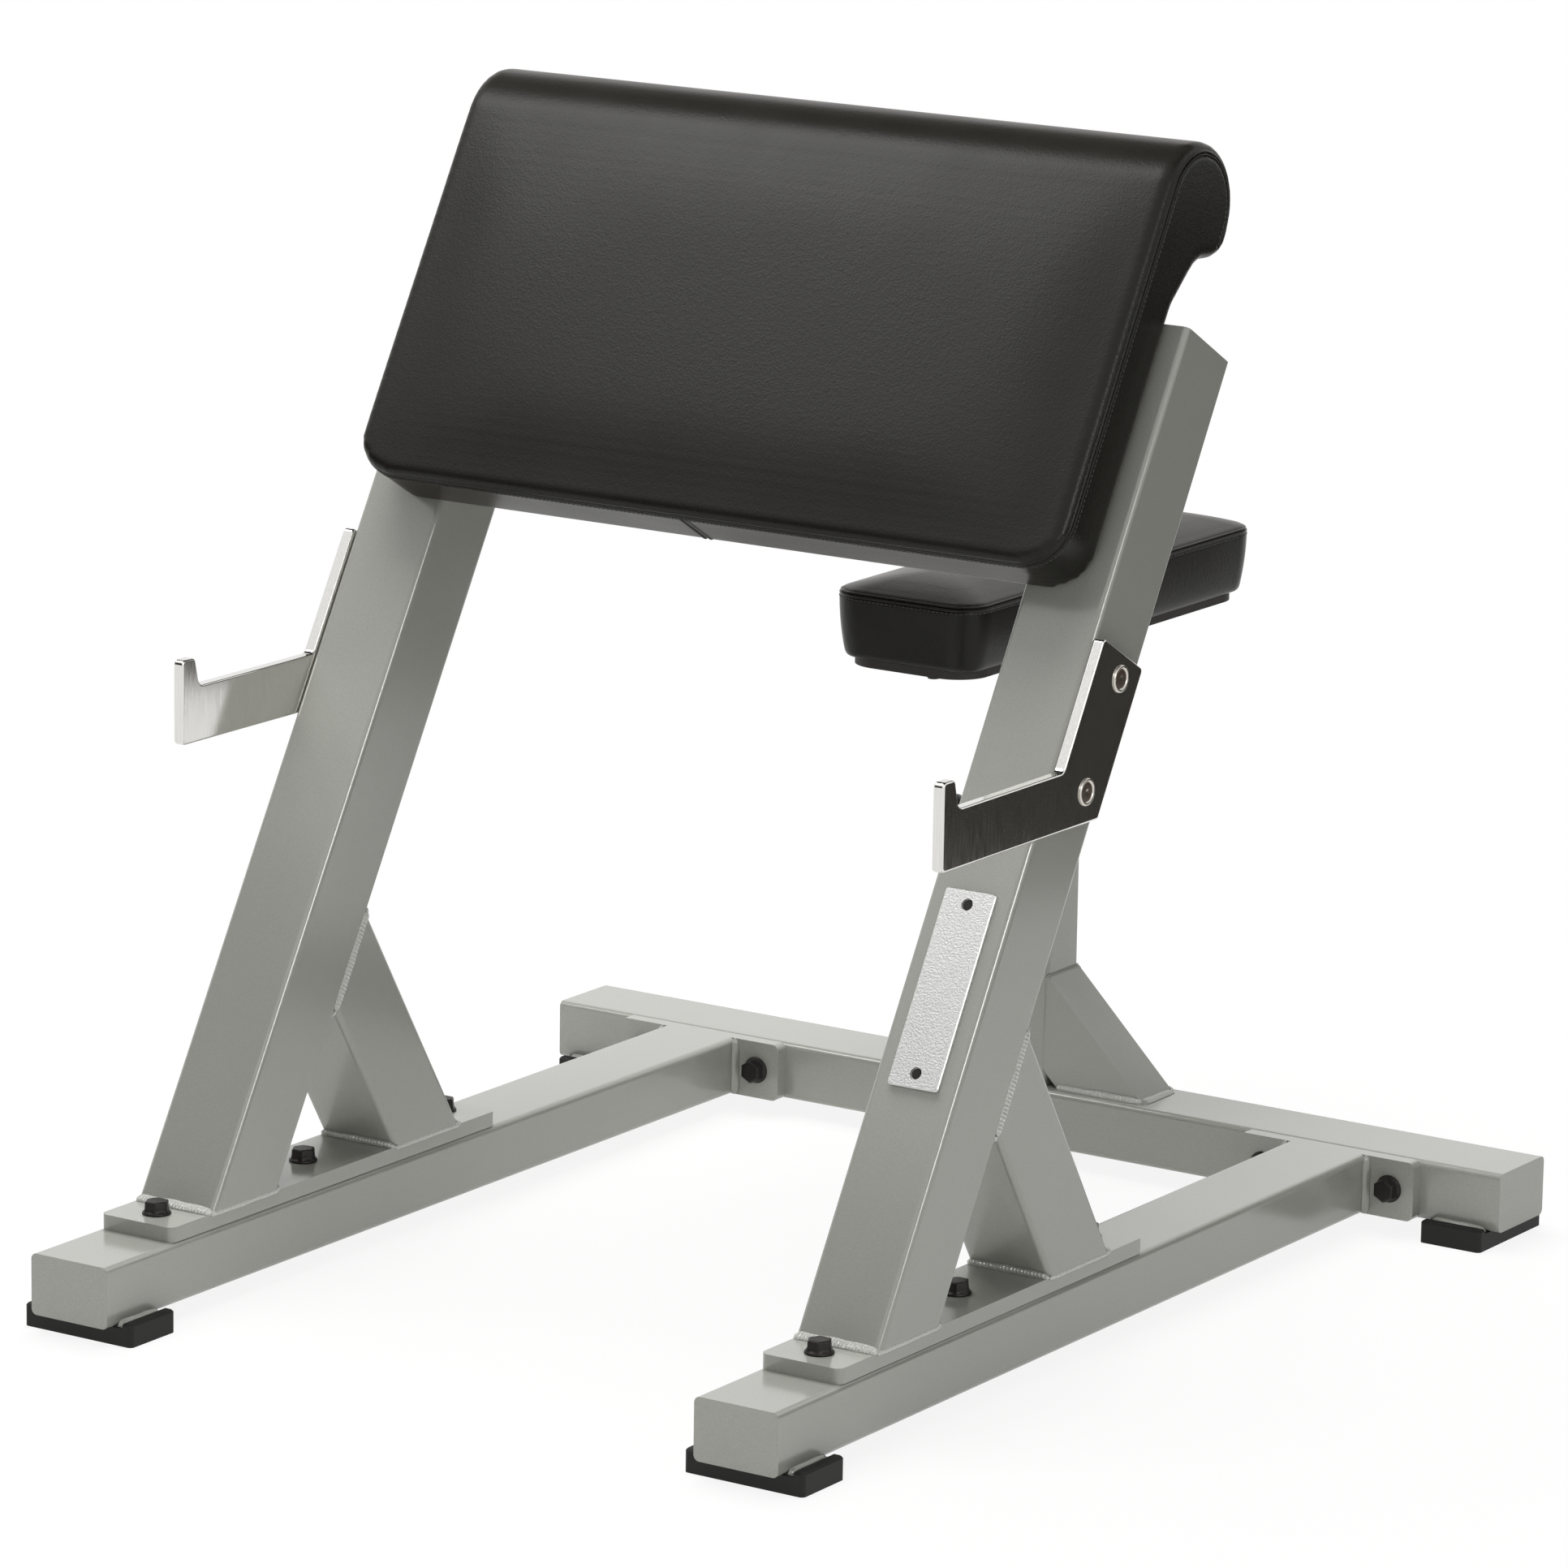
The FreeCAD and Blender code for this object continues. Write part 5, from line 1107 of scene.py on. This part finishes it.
# %% [markdown]
# The bar hooks come from the CAD as sharp-edged plate. The belt that polished them also broke their edges, and
# those small roundings draw the bright and dark lines round a polished plate. So each hook is copied, its loose
# triangles are merged into one skin, and a bevel rounds every sharp edge over.

# %% Hooks with broken edges
EDGE_BREAK, BREAK_STEPS = 2.0 * MM, 3
FLAT_ANGLE, SHARP_ANGLE = math.radians(0.5), math.radians(40)


def edges_broken(node, width):
    """A merged copy of a CAD node whose flat faces are whole again and whose sharp edges are rounded over."""
    source = frame["nodes"][node].data
    corners = np.empty(len(source.loops), dtype=np.int32)
    source.loops.foreach_get("vertex_index", corners)
    points, place = np.unique(np.round(points_of(source), 6), axis=0, return_inverse=True)
    name = node + "_polished"
    copy = object_from(name, mesh_from(name, points, place.ravel()[corners].reshape(-1, 3)))
    flat = copy.modifiers.new("flat_faces", "DECIMATE")
    flat.decimate_type, flat.angle_limit = "DISSOLVE", FLAT_ANGLE
    over = copy.modifiers.new("broken_edges", "BEVEL")
    over.width, over.segments, over.limit_method, over.angle_limit = width, BREAK_STEPS, "ANGLE", SHARP_ANGLE
    over.harden_normals, over.loop_slide, over.use_clamp_overlap = True, False, False
    return copy


for node in ("left_bar_hook", "right_bar_hook"):
    hook = dress(edges_broken(node, EDGE_BREAK), FINISHES["hook_plating"], "frame")
    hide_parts(node)
print("edges broken on both hooks")

# %% [markdown]
# The bolts that show are turned here, because their roundings are what catches the light and the CAD heads are
# plain. A profile of radius and height goes round the bolt's axis, and a third column blends the radius from
# a circle to a hexagon. The hook bolts have a polished ring round a dark dished socket, and the base bolts have
# a black hexagon that flares into a small flange.

# %% Turning a bolt
BOLT_STEPS, SIXTH = 48, math.tau / 6


def turned(rows, place, way):
    """Rows of (radius, height, hexagon share) in mm round an axis from place along way; the radius at each angle
    is r * (1 - h + h / cos(angle to the nearest flat))."""
    radius, height, hexagon = np.array(rows).T[..., None] * np.array((MM, MM, 1))[:, None, None]
    turn = np.linspace(0, math.tau, BOLT_STEPS, endpoint=False)
    flat = (turn + SIXTH / 2) % SIXTH - SIXTH / 2
    around = radius * (1 - hexagon + hexagon / np.cos(flat))
    way = np.asarray(way, dtype=float)
    first = unit(np.cross(way, UP if abs(way[2]) < 0.5 else RIGHT))
    second = np.cross(way, first)
    return shell_of(np.asarray(place) + height[..., None] * way + (around * np.cos(turn))[..., None] * first
                    + (around * np.sin(turn))[..., None] * second)


def bolt_piece(name, shells, material):
    """Several turned bolts as one piece on the frame."""
    return dress(object_from(name, mesh_from(name, *joined(shells))), material, "frame")


print(f"bolt heads have {BOLT_STEPS} steps round their axis")

# %% Hook bolts
HOOK_BOLT = ((6, -26, 0), (6, -0.4, 0), (6.4, 0, 0), (10.6, 0, 0), (11.0, 0.2, 0), (11.0, 0.6, 0), (10.8, 1.1, 0),
             (10.3, 1.5, 0), (9.6, 1.7, 0), (9.0, 1.6, 0), (8.4, 1.3, 0), (8.0, 0.9, 0), (7.7, 0.5, 0))
HOOK_SOCKET = ((7.6, 0.4, 0), (7.6, 0.7, 0), (7.1, 0.9, 0), (5.5, 1.1, 0), (3.4, 1.2, 0), (2.6, 1.1, 1),
               (2.3, 0.8, 1), (2.3, 0.3, 1), (2.0, 0.15, 1))
HOOK_BOLT_PLACES = ((-0.18244, 0.46760), (-0.13537, 0.54912))
# hand-polished nickel plate gives a bright, faintly warm ring; the socket is coloured a dull dark brown, darker than
# the ring
POLISHED = streaked_metal("polished_nickel_steel", ("#BDB8AF", "#D8D4CC"), (0.18, 0.28), SCRATCH_MM, EVEN, 0.01)
DARK_BROWN_SOCKET = moulded("dark_brown_socket_finish", ("#3A2E26", "#57493E"), (0.35, 0.5), OXIDE_MM, 0.1)
hook_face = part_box("right_bar_hook")[1].x
spots = [((way * hook_face, y, z), (way, 0, 0)) for y, z in HOOK_BOLT_PLACES for way in (-1, 1)]
rings = bolt_piece("hook_bolt_heads", [turned(HOOK_BOLT, *spot) for spot in spots], POLISHED)
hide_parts("hook_bolts")
bolt_piece("hook_bolt_sockets", [turned(HOOK_SOCKET, *spot) for spot in spots], DARK_BROWN_SOCKET)
print(f"{len(spots)} hook bolts turned")

# %% Base and flange bolts
HEAD_ROWS = ((6.0, -0.4, 0), (6.4, 0, 0), (11.3, 0, 0), (11.8, 0.5, 0), (11.7, 1.3, 0), (11.1, 2.0, 0),
             (10.2, 2.8, 0.4), (9.4, 3.7, 0.9), (9.1, 4.6, 1), (8.8, 9.8, 1), (8.4, 10.6, 1), (7.6, 11.0, 0.8),
             (7.0, 11.0, 0.6))
BASE_SHANK, FLANGE_SHANK = (6.0, -29.7, 0), (6.0, -102.9, 0)
BASE_BOLT_Y, FLANGE_BOLT_X = (-0.47445, -0.27943, -0.08441), (0.25695, 0.37905)
leg_x = (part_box("right_leg_tube")[0].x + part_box("right_leg_tube")[1].x) / 2
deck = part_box("right_base_plate")[1].z
flange_low, flange_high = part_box("right_leg_flange")
base_spots = [((way * leg_x, y, deck), UP) for y in BASE_BOLT_Y for way in (-1, 1)]
flange_spots = [((way * x, flange_low.y, (flange_low.z + flange_high.z) / 2), FRONT)
                for x in FLANGE_BOLT_X for way in (-1, 1)]
base_bolts = bolt_piece("base_bolt_heads", [turned((BASE_SHANK, *HEAD_ROWS), *spot) for spot in base_spots],
                        FINISHES["black_bolts"])
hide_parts("base_bolts")
flange_bolts = bolt_piece("flange_bolt_heads", [turned((FLANGE_SHANK, *HEAD_ROWS), *spot) for spot in flange_spots],
                          FINISHES["black_bolts"])
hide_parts("flange_bolts")
print(f"{len(base_spots)} base bolts and {len(flange_spots)} flange bolts turned")
